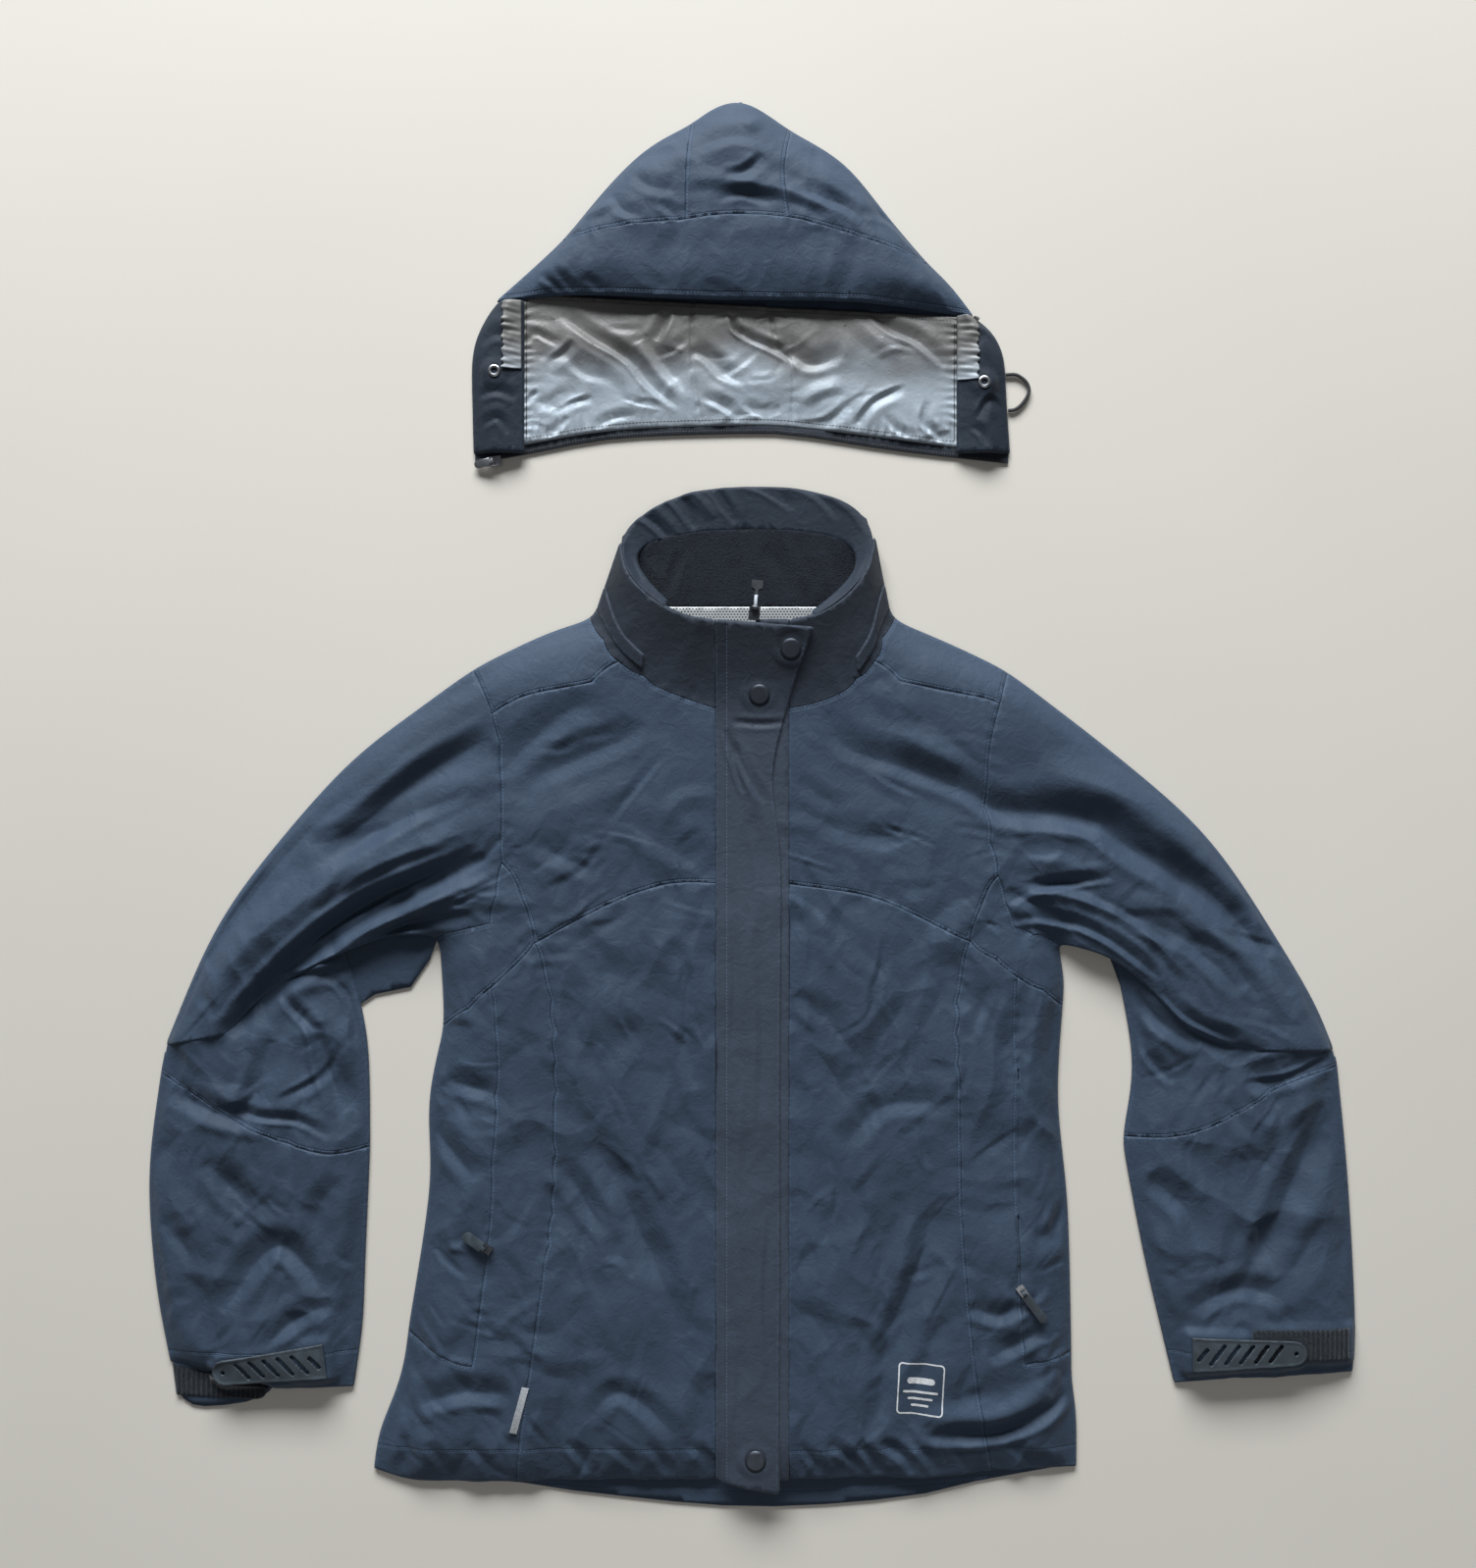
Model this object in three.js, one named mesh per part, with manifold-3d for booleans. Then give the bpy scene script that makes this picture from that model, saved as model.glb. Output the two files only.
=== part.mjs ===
// A waterproof jacket laid flat, front up, with its zip-off hood laid above the collar.
// Millimetres. +X is the wearer's left, +Y runs from the hem to the hood, +Z is up, and Z = 0 is the
// surface that the jacket lies on. Right and left are the wearer's.
import * as THREE from "three";
import { mergeVertices } from "three/addons/utils/BufferGeometryUtils.js";
import Module from "manifold-3d";

const wasm = await Module();
wasm.setup();

// ---- Driving sizes ----
const CLOTH = 1.5; // wall of one layer of shell cloth with its seam turnings
const SEAM_GAP = 0.3; // between pieces that meet at a seam
const LAYER_GAP = 0.3; // between a piece and what it lies on
const REST = 2 * CLOTH + LAYER_GAP; // upper face of a top layer that rests on the layer below
const CROWN = 18; // height of the body and the upper sleeves where air and cloth hold them up
const FOREARM_CROWN = 15;
const HOOD_CROWN = 24;
const FOLD_EDGE = 13; // upper face of the sleeve's rolled edge at the elbow
const HEM_EDGE = 8.5; // the front hem stands this high, so the body is open at the bottom
const CUFF_EDGE = 9;
const BRIM_EDGE = 17;
const NECK_Y = 77; // collar seam at the centre front
const COLLAR_TOP_Y = 146; // top edge of the collar at the centre front
const COLLAR_TOP_Z = 36;
const GUARD_X = 29; // seam between the zip guard and the left front
const FLAP_SEAM_X = -30; // seam between the storm flap and the right front
const FLAP_LIFT = 2.0; // the flap's upper face above the guard's

// ---- Seam lines and outlines ----
// Each line has the few [x, y] points its curve passes through, and the number of steps it is cut into,
// which is the same on both of the pieces that share it.
const STEPS = {
  shoulder: 4,
  neckSide: 2,
  neckFront: 4,
  yokeSeam: 4,
  armholeYoke: 2,
  armholeChest: 5,
  armholeLow: 2,
  placketChest: 8,
  placketFront: 18,
  chestSeamInner: 8,
  chestSeamMiddle: 2,
  chestSeamSide: 2,
  princessTop: 3,
  princessMiddle: 14,
  princessLow: 4,
  pocketSeam: 14,
  hipSeam: 2,
  hipJoin: 2,
  sideTop: 3,
  sideMiddle: 14,
  sideLow: 4,
  hemSide: 4,
  hemFront: 8,
  outerUpper: 12,
  outerElbow: 6,
  outerForearm: 11,
  cuff: 8,
  innerForearm: 11,
  innerElbow: 6,
  elbowSeam: 8,
  foldInner: 2,
  foldOuter: 10,
};

const RIGHT = {
  shoulder: [[-129, 149], [-166, 138], [-226, 109]],
  neckSide: [[-129, 149], [-121, 135], [-109, 116]],
  neckFront: [[-109, 116], [-75, 94], [-54, 85], [FLAP_SEAM_X, NECK_Y]],
  yokeSeam: [[-210, 74], [-187, 89], [-130, 97], [-109, 116]],
  armholeYoke: [[-226, 109], [-216, 90], [-210, 74]],
  armholeChest: [[-210, 74], [-203, 30], [-202, -11], [-203, -46]],
  armholeLow: [[-203, -46], [-207, -73], [-212, -97]],
  placketChest: [[FLAP_SEAM_X, NECK_Y], [FLAP_SEAM_X, -62]],
  placketFront: [[FLAP_SEAM_X, -62], [FLAP_SEAM_X, -547]],
  chestSeamInner: [[-174, -112], [-136, -90], [-95, -71], [-65, -62], [FLAP_SEAM_X, -62]],
  chestSeamMiddle: [[-212, -148], [-193, -130], [-174, -112]],
  chestSeamSide: [[-250, -181], [-242, -174], [-212, -148]],
  princessTop: [[-203, -46], [-187, -73], [-174, -112]],
  princessMiddle: [[-174, -112], [-162, -164], [-159, -240], [-162, -329], [-178, -449]],
  princessLow: [[-178, -449], [-185, -495], [-190, -548]],
  pocketSeam: [[-212, -148], [-205, -215], [-209, -286], [-212, -343], [-225, -454]],
  hipSeam: [[-279, -427], [-261, -442], [-225, -454]],
  hipJoin: [[-225, -454], [-178, -449]],
  sideTop: [[-254, -105], [-251, -150], [-250, -181]],
  sideMiddle: [[-250, -181], [-262, -240], [-262, -314], [-279, -427]],
  sideLow: [[-279, -427], [-285, -469], [-303, -509], [-307, -540]],
  hemSide: [[-307, -540], [-289, -549], [-240, -549], [-190, -548]],
  hemFront: [[-190, -548], [-110, -547], [FLAP_SEAM_X, -547]],
  outerUpper: [[-226, 109], [-263, 82], [-330, 30], [-406, -58], [-442, -114], [-476, -195]],
  outerElbow: [[-476, -195], [-480, -216]],
  outerForearm: [[-480, -216], [-490, -300], [-485, -386], [-473, -453]],
  cuff: [[-473, -453], [-440, -459], [-391, -472], [-326, -473]],
  innerForearm: [[-313, -281], [-317, -374], [-319, -422], [-326, -473]],
  innerElbow: [[-336, -108], [-321, -159], [-314, -202], [-313, -281]],
  elbowSeam: [[-480, -216], [-441, -240], [-404, -263], [-342, -286], [-313, -281]],
  foldInner: [[-212, -97], [-233, -102], [-254, -105]],
  foldOuter: [[-254, -105], [-295, -106], [-347, -126], [-399, -156], [-425, -185]],
  elbowTuck: [[-425, -185], [-413, -176], [-408, -148], [-378, -128], [-350, -112], [-336, -108]],
  gusset: [[-262, -127], [-278, -150], [-307, -156]],
  underCuff: [
    [-388, -473], [-393, -479], [-400, -484], [-413, -488], [-430, -490.5], [-446, -491.5], [-456, -490],
    [-464, -485], [-469, -478], [-471, -470],
  ],
};

const LEFT = {
  shoulder: [[112, 149], [160, 129], [206, 107]],
  neckSide: [[112, 149], [101, 132], [99, 117]],
  neckFront: [[99, 117], [80, 95], [54, 82], [GUARD_X, NECK_Y]],
  yokeSeam: [[200, 86], [174, 90], [120, 99], [99, 117]],
  armholeYoke: [[206, 107], [202, 96], [200, 86]],
  armholeChest: [[200, 86], [190, 50], [189, 0], [198, -57]],
  armholeLow: [[198, -57], [205, -82], [211, -101]],
  placketChest: [[GUARD_X, NECK_Y], [GUARD_X, -63]],
  placketFront: [[GUARD_X, -63], [GUARD_X, -545]],
  chestSeamInner: [[172, -110], [142, -94], [109, -78], [81, -70], [GUARD_X, -63]],
  chestSeamMiddle: [[213, -138], [193, -124], [172, -110]],
  chestSeamSide: [[251, -163], [234, -151], [213, -138]],
  princessTop: [[198, -57], [186, -78], [172, -110]],
  princessMiddle: [[172, -110], [164, -170], [166, -243], [168, -340], [178, -449]],
  princessLow: [[178, -449], [185, -495], [195, -540]],
  pocketSeam: [[213, -138], [214, -226], [213, -300], [217, -418], [220, -452]],
  hipSeam: [[258, -445], [240, -449], [220, -452]],
  hipJoin: [[220, -452], [178, -449]],
  sideTop: [[246, -111], [252, -140], [251, -163]],
  sideMiddle: [[251, -163], [247, -240], [255, -329], [258, -445]],
  sideLow: [[258, -445], [258, -472], [262, -495], [262, -538]],
  hemSide: [[262, -538], [230, -539], [195, -540]],
  hemFront: [[195, -540], [150, -545], [GUARD_X, -545]],
  outerUpper: [[206, 107], [298, 36], [370, -29], [427, -113], [463, -175], [471, -199]],
  outerElbow: [[471, -199], [474, -210]],
  outerForearm: [[474, -210], [483, -305], [489, -420], [487, -461]],
  cuff: [[487, -461], [386, -466], [344, -470]],
  innerForearm: [[302, -272], [310, -317], [322, -377], [344, -470]],
  innerElbow: [[292, -108], [304, -165], [311, -215], [302, -272]],
  elbowSeam: [[474, -210], [430, -223], [401, -243], [350, -268], [302, -272]],
  foldInner: [[211, -101], [228, -106], [246, -111]],
  foldOuter: [[246, -111], [289, -123], [322, -149], [357, -185], [402, -198]],
  elbowTuck: [[402, -198], [386, -197], [364, -172], [338, -145], [310, -122], [292, -108]],
  gusset: [[289, -123]],
  underCuff: [],
};

const plan = ([x, y]) => new THREE.Vector2(x, y);

// A smooth curve through a line's points, cut into equal steps. Two points make a straight line.
function cutLine(points, steps) {
  const curve = new THREE.SplineCurve(points.map(plan));
  return curve.getSpacedPoints(steps);
}

function cutLines(table) {
  const lines = {};
  for (const [name, points] of Object.entries(table)) {
    lines[name] = STEPS[name] ? cutLine(points, STEPS[name]) : points.map(plan);
  }
  lines.sleeveEnd = [lines.outerUpper.at(-1), lines.foldOuter.at(-1)];
  return lines;
}

// Lines joined end to end.
const along = (...lines) => lines.flatMap((line, i) => (i ? line.slice(1) : line));
const backwards = (line) => [...line].reverse();

const lines = { right: cutLines(RIGHT), left: cutLines(LEFT) };

// ---- Laid cloth ----
const smooth = (t) => {
  const s = THREE.MathUtils.clamp(t, 0, 1);
  return s * s * (3 - 2 * s);
};
const rollUp = (t) => Math.sqrt(1 - (1 - Math.min(t, 1)) ** 2);

// The distance from (x, y) to a polyline, and how far along it the nearest point lies, from 0 to 1.
function nearest(line, x, y) {
  let best = { distance: Infinity, along: 0 };
  for (let i = 1; i < line.length; i++) {
    const a = line[i - 1];
    const dx = line[i].x - a.x;
    const dy = line[i].y - a.y;
    const t = THREE.MathUtils.clamp(((x - a.x) * dx + (y - a.y) * dy) / (dx * dx + dy * dy), 0, 1);
    const distance = Math.hypot(x - a.x - t * dx, y - a.y - t * dy);
    if (distance < best.distance) best = { distance, along: (i - 1 + t) / (line.length - 1) };
  }
  return best;
}

// The value of a short list at a share of its length.
function between(list, share) {
  const at = share * (list.length - 1);
  const i = Math.min(Math.floor(at), list.length - 2);
  return list.length === 1 ? list[0] : THREE.MathUtils.lerp(list[i], list[i + 1], at - i);
}

// The height of the upper face of laid cloth at (x, y). It starts at each edge's height and rolls up to
// the crown over the edge's reach, like a quarter ellipse, or gently where the edge is tucked under another
// piece. Each fold is a soft straight ridge, or a trough where its depth is negative, that fades at its ends
// and at the edges.
function laidForm({ crown, edges, folds }) {
  return (x, y) => {
    let height = crown;
    for (const { line, heights, reach, tucked } of edges) {
      const near = nearest(line, x, y);
      const edge = between(heights, near.along);
      const rise = tucked ? smooth(near.distance / reach) : rollUp(near.distance / reach);
      height = Math.min(height, edge + (crown - edge) * rise);
    }
    const free = smooth((height - REST) / (crown - REST));
    for (const { fromX, fromY, toX, toY, width, depth } of folds) {
      const near = nearest([plan([fromX, fromY]), plan([toX, toY])], x, y);
      const across = near.distance / width;
      const ends = Math.sin(Math.PI * THREE.MathUtils.clamp(near.along, 0.12, 0.88)) ** 0.5;
      height += depth * free * ends * Math.exp(-across * across);
    }
    return height;
  };
}

// The largest folds of the body and the upper sleeves.
const BODY_FOLDS = [
  { fromX: -211, fromY: 54, toX: -326, toY: -20, width: 22, depth: -6 },
  { fromX: -218, fromY: -39, toX: -316, toY: -82, width: 16, depth: -5 },
  { fromX: -316, fromY: -82, toX: -378, toY: -126, width: 14, depth: -4 },
  { fromX: -240, fromY: -14, toX: -347, toY: -66, width: 16, depth: 4 },
  { fromX: -347, fromY: -66, toX: -438, toY: -145, width: 16, depth: 4 },
  { fromX: -190, fromY: 30, toX: -125, toY: 76, width: 16, depth: -4 },
  { fromX: -180, fromY: 8, toX: -90, toY: 56, width: 15, depth: -3 },
  { fromX: 76, fromY: 46, toX: 172, toY: 11, width: 16, depth: -5 },
  { fromX: 172, fromY: 11, toX: 290, toY: -15, width: 18, depth: -5 },
  { fromX: 100, fromY: 62, toX: 160, toY: 38, width: 14, depth: 4 },
  { fromX: 280, fromY: -13, toX: 400, toY: -108, width: 16, depth: -5 },
  { fromX: 215, fromY: -64, toX: 285, toY: -74, width: 13, depth: -4 },
  { fromX: -134, fromY: -255, toX: -58, toY: -429, width: 17, depth: -6 },
  { fromX: -170, fromY: -285, toX: -118, toY: -350, width: 14, depth: -4 },
  { fromX: 144, fromY: -300, toX: 104, toY: -498, width: 17, depth: -5 },
  { fromX: 78, fromY: -275, toX: 160, toY: -243, width: 15, depth: -3 },
  { fromX: 130, fromY: -503, toX: 245, toY: -492, width: 14, depth: -4 },
];
const FOREARM_FOLDS = {
  right: [
    { fromX: -441, fromY: -288, toX: -400, toY: -340, width: 15, depth: -4 },
    { fromX: -428, fromY: -408, toX: -384, toY: -357, width: 13, depth: -4 },
    { fromX: -380, fromY: -170, toX: -400, toY: -225, width: 16, depth: -3 },
  ],
  left: [
    { fromX: 455, fromY: -250, toX: 439, toY: -305, width: 15, depth: -4 },
    { fromX: 439, fromY: -305, toX: 392, toY: -400, width: 15, depth: -4 },
  ],
};

const bodyEdges = Object.values(lines).flatMap((side) => [
  { line: along(side.shoulder, side.outerUpper, side.outerElbow), heights: [REST], reach: 44 },
  { line: side.foldInner, heights: [FOLD_EDGE], reach: 20 },
  { line: side.foldOuter, heights: [FOLD_EDGE, FOLD_EDGE, FOLD_EDGE, FOLD_EDGE - 1], reach: 20 },
  { line: along(side.sideTop, side.sideMiddle, side.sideLow), heights: [REST], reach: 34 },
  { line: side.hemSide, heights: [REST, HEM_EDGE], reach: 24 },
  { line: side.hemFront, heights: [HEM_EDGE], reach: 24 },
]);
const bodyForm = laidForm({ crown: CROWN, edges: bodyEdges, folds: BODY_FOLDS });

// The elbow and the forearm. The elbow starts under the upper sleeve's rolled edge, at TUCK heights.
const TUCK = [FOLD_EDGE - 1, 8.5, 8, 8, 8, 8];
const TUCK_REACH = 60;
const SLEEVE_JOIN = 12; // over this length the elbow takes up the upper sleeve's height at its outer end
function forearmForm(side) {
  const edges = [
    {
      line: along(side.outerUpper.slice(-3), side.outerElbow, side.outerForearm),
      heights: [REST],
      reach: 40,
    },
    { line: along(side.innerElbow, side.innerForearm), heights: [REST], reach: 40 },
    { line: side.elbowTuck, heights: TUCK, reach: TUCK_REACH, tucked: true },
    { line: side.cuff, heights: [REST, CUFF_EDGE, CUFF_EDGE, REST], reach: 22 },
  ];
  const folds = side === lines.right ? FOREARM_FOLDS.right : FOREARM_FOLDS.left;
  const form = laidForm({ crown: FOREARM_CROWN, edges, folds });
  return (x, y) => {
    const away = smooth(nearest(side.sleeveEnd, x, y).distance / SLEEVE_JOIN);
    return THREE.MathUtils.lerp(bodyForm(x, y), form(x, y), away);
  };
}

// The front of the body and of the collar at the placket, where the collar leans back as it rises.
function placketForm(x, y) {
  if (y <= NECK_Y) return bodyForm(x, y);
  const up = Math.min((y - NECK_Y) / (COLLAR_TOP_Y - NECK_Y), 1);
  return THREE.MathUtils.lerp(bodyForm(x, NECK_Y), COLLAR_TOP_Z, up);
}

// A four-sided grid of points whose edges are the four lines: top and bottom run the same way, and so do
// left and right, which start at the top.
function patch(top, bottom, left, right) {
  const columns = top.length - 1;
  const rows = left.length - 1;
  return left.map((_, i) =>
    top.map((_, j) => {
      const u = j / columns;
      const v = i / rows;
      const across = left[i].clone().lerp(right[i], u);
      const down = top[j].clone().lerp(bottom[j], v);
      const upper = top[0].clone().lerp(top[columns], u);
      const lower = bottom[0].clone().lerp(bottom[columns], u);
      const corners = upper.lerp(lower, v);
      return across.add(down).sub(corners);
    }),
  );
}

// The grid of a patch at its height on a form.
const laidOn = (grid, form, lift = 0) =>
  grid.map((row) => row.map((p) => new THREE.Vector3(p.x, p.y, form(p.x, p.y) + lift)));

// A closed wall of cloth whose upper face is the given grids, which join where they share points. Its edge
// is drawn in by half a seam gap.
function cloth(grids, thickness = CLOTH) {
  const points = [];
  const index = new Map();
  const indexOf = (p) => {
    const key = `${p.x.toFixed(2)} ${p.y.toFixed(2)}`;
    if (!index.has(key)) {
      index.set(key, points.length);
      points.push(p.clone());
    }
    return index.get(key);
  };
  const triangles = [];
  for (const grid of grids) {
    for (let i = 1; i < grid.length; i++) {
      for (let j = 1; j < grid[i].length; j++) {
        const corners = [grid[i - 1][j - 1], grid[i][j - 1], grid[i][j], grid[i - 1][j]];
        const [a, b, c, d] = corners.map(indexOf);
        triangles.push([a, b, c], [a, c, d]);
      }
    }
  }
  const area = ([a, b, c]) =>
    (points[b].x - points[a].x) * (points[c].y - points[a].y) -
    (points[c].x - points[a].x) * (points[b].y - points[a].y);
  const faces = triangles.filter((t) => new Set(t).size === 3);
  const turned = faces.reduce((sum, t) => sum + area(t), 0) < 0;
  const upper = turned ? faces.map(([a, b, c]) => [a, c, b]) : faces;

  const directed = new Set(upper.flatMap(([a, b, c]) => [`${a} ${b}`, `${b} ${c}`, `${c} ${a}`]));
  const rim = [...directed].map((edge) => edge.split(" ").map(Number));
  const edges = rim.filter(([a, b]) => !directed.has(`${b} ${a}`));
  const drawIn = new Map();
  for (const [a, b] of edges) {
    const dx = points[b].x - points[a].x;
    const dy = points[b].y - points[a].y;
    const inwards = new THREE.Vector2(-dy, dx).normalize();
    for (const at of [a, b]) {
      if (!drawIn.has(at)) drawIn.set(at, new THREE.Vector2());
      drawIn.get(at).add(inwards);
    }
  }
  for (const [at, sum] of drawIn) {
    const step = sum.normalize().multiplyScalar(SEAM_GAP / 2);
    points[at].x += step.x;
    points[at].y += step.y;
  }

  const count = points.length;
  const above = points.flatMap((p) => [p.x, p.y, p.z]);
  const below = points.flatMap((p) => [p.x, p.y, p.z - thickness]);
  const lower = upper.map(([a, b, c]) => [a + count, c + count, b + count]);
  const walls = edges.flatMap(([a, b]) => [[a, a + count, b + count], [a, b + count, b]]);
  const geometry = new THREE.BufferGeometry();
  geometry.setAttribute("position", new THREE.Float32BufferAttribute([...above, ...below], 3));
  geometry.setIndex([...upper, ...lower, ...walls].flat());
  return geometry;
}

// A flat wall of cloth that lies on the surface, inside a closed outline.
function flatCloth(outline) {
  const clean = outline.filter((p, i) => p.distanceTo(outline.at(i - 1)) > SEAM_GAP);
  const anticlockwise = THREE.ShapeUtils.area(clean) > 0 ? clean : clean.reverse();
  const inset = anticlockwise.map((p, i) => {
    const before = anticlockwise.at(i - 1);
    const after = anticlockwise[(i + 1) % anticlockwise.length];
    const a = p.clone().sub(before).normalize();
    const b = after.clone().sub(p).normalize();
    const inwards = new THREE.Vector2(-a.y - b.y, a.x + b.x).normalize();
    return p.clone().addScaledVector(inwards, SEAM_GAP / 2);
  });
  const shape = new THREE.Shape(inset);
  return new THREE.ExtrudeGeometry(shape, { depth: CLOTH, bevelEnabled: false });
}

// ---- Materials ----
const material = (color, roughness, metalness = 0) =>
  new THREE.MeshStandardMaterial({ color, roughness, metalness });
const shellCloth = material(0x2c3b4c, 0.7);
const flapCloth = material(0x2a2d36, 0.75);
const fleece = material(0x2b3238, 1);
const meshCloth = material(0xb4b9bd, 0.8);
const liningCloth = material(0x9a9890, 0.45);
const rubber = material(0x25292d, 0.65);
const gunmetal = material(0x3a3d42, 0.35, 0.9);
const steel = material(0xb8babd, 0.3, 0.9);
const labelTape = material(0xa7abb0, 0.8);
const cordCloth = material(0x15171a, 0.8);

const jacket = new THREE.Group();
function add(name, geometry, finish, group = jacket) {
  const mesh = new THREE.Mesh(geometry, finish);
  mesh.name = name;
  group.add(mesh);
  return mesh;
}

// ---- Body, one side at a time ----
for (const [name, side] of Object.entries(lines)) {
  const body = (grid) => laidOn(grid, bodyForm);
  const yoke = patch(backwards(side.shoulder), side.yokeSeam, side.armholeYoke, side.neckSide);
  add(`yoke_${name}`, cloth([body(yoke)]), shellCloth);

  const chest = patch(
    along(side.yokeSeam, side.neckFront),
    side.chestSeamInner,
    along(side.armholeChest, side.princessTop),
    side.placketChest,
  );
  add(`chest_${name}`, cloth([body(chest)]), shellCloth);

  const underarm = patch(
    along(backwards(side.foldInner), backwards(side.armholeLow)),
    along(side.chestSeamSide, side.chestSeamMiddle),
    side.sideTop,
    side.princessTop,
  );
  add(`underarm_${name}`, cloth([body(underarm)]), shellCloth);

  const front = patch(
    side.chestSeamInner,
    side.hemFront,
    along(side.princessMiddle, side.princessLow),
    side.placketFront,
  );
  add(`front_${name}`, cloth([body(front)]), shellCloth);

  const pocketPart = patch(side.chestSeamMiddle, side.hipJoin, side.pocketSeam, side.princessMiddle);
  const hipPart = patch(along(side.hipSeam, side.hipJoin), side.hemSide, side.sideLow, side.princessLow);
  add(`pocket_panel_${name}`, cloth([body(pocketPart), body(hipPart)]), shellCloth);

  const sidePanel = patch(side.chestSeamSide, side.hipSeam, side.sideMiddle, side.pocketSeam);
  add(`side_${name}`, cloth([body(sidePanel)]), shellCloth);

  const armhole = along(side.armholeYoke, side.armholeChest, side.armholeLow);
  const [end, fold] = side.sleeveEnd;
  const upperSleeve = patch(
    side.outerUpper,
    along(side.foldInner, side.foldOuter),
    armhole,
    cutLine([end.toArray(), fold.toArray()], armhole.length - 1),
  );
  add(`upper_sleeve_${name}`, cloth([body(upperSleeve)]), shellCloth);

  const form = forearmForm(side);
  const joinSteps = STEPS.elbowSeam - (side.elbowTuck.length - 1);
  const elbow = patch(
    along(cutLine([end.toArray(), fold.toArray()], joinSteps), side.elbowTuck),
    side.elbowSeam,
    side.outerElbow,
    side.innerElbow,
  );
  add(`elbow_${name}`, cloth([laidOn(elbow, form)]), shellCloth);

  const forearm = patch(side.elbowSeam, side.cuff, side.outerForearm, side.innerForearm);
  add(`forearm_${name}`, cloth([laidOn(forearm, form)]), shellCloth);

  const underSleeve = [
    ...armhole,
    ...side.foldInner,
    ...side.gusset,
    ...side.innerElbow.slice(2),
    ...side.innerForearm,
    ...side.underCuff,
    ...backwards(side.outerForearm),
    ...backwards(side.outerUpper),
  ];
  add(`under_sleeve_${name}`, flatCloth(underSleeve), shellCloth);
}

// ---- Back: flat on the surface, with a hem that dips below the front's ----
const BACK_HEM = [
  [-307, -540], [-292, -549.5], [-209, -551], [-146, -560], [-6, -573], [118, -566], [179, -553], [262, -538],
];
const BACK_NECK = [[-129, 149], [-60, 160], [50, 160], [112, 149]];
const backNeck = cutLine(BACK_NECK, 8);
const backSide = (side) =>
  along(
    side.shoulder,
    along(side.armholeYoke, side.armholeChest, side.armholeLow),
    side.foldInner,
    along(side.sideTop, side.sideMiddle, side.sideLow),
  );
const backOutline = [
  ...backSide(lines.right),
  ...cutLine(BACK_HEM, 14).slice(1, -1),
  ...backwards(backSide(lines.left)),
  ...backwards(backNeck).slice(1, -1),
];
add("back", flatCloth(backOutline), shellCloth);

// ---- Storm flap and zip guard ----
const PLACKET_ROWS = 28;
const HEM_Y = -546;
const GUARD_LEFT_X = 3;
const FLAP_EDGE = [
  [47, 140], [31, 94], [22, 60], [14, 20], [20, -22], [22, -60], [21, -209], [21, -380], [20, HEM_Y - 9],
];
const placketRow = (i) => THREE.MathUtils.lerp(COLLAR_TOP_Y, HEM_Y, i / PLACKET_ROWS);
const flapEdge = new THREE.SplineCurve(FLAP_EDGE.map(plan)).getSpacedPoints(200);
const FLAP_COLUMNS = 4;
const flap = [];
const guard = [];
for (let i = 0; i <= PLACKET_ROWS; i++) {
  const y = placketRow(i);
  const edge = flapEdge.reduce((best, p) => (Math.abs(p.y - y) < Math.abs(best.y - y) ? p : best));
  const last = i === PLACKET_ROWS;
  const row = [];
  for (let j = 0; j <= FLAP_COLUMNS; j++) {
    const x = THREE.MathUtils.lerp(FLAP_SEAM_X, edge.x, j / FLAP_COLUMNS);
    const lift = FLAP_LIFT * smooth((x - FLAP_SEAM_X) / 25);
    const dip = last ? (9 * j) / FLAP_COLUMNS : 0; // the flap's free bottom corner hangs below the hem
    const top = i === 0 ? (6 * j) / FLAP_COLUMNS : 0; // its top edge slopes down to the left
    row.push(new THREE.Vector3(x, y - dip - top, placketForm(x, y - top) + lift));
  }
  flap.push(row);
  guard.push([GUARD_LEFT_X, GUARD_X].map((x) => new THREE.Vector3(x, y, placketForm(x, y))));
}
add("storm_flap", cloth([flap]), flapCloth);
add("zip_guard", cloth([guard]), flapCloth);

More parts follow.
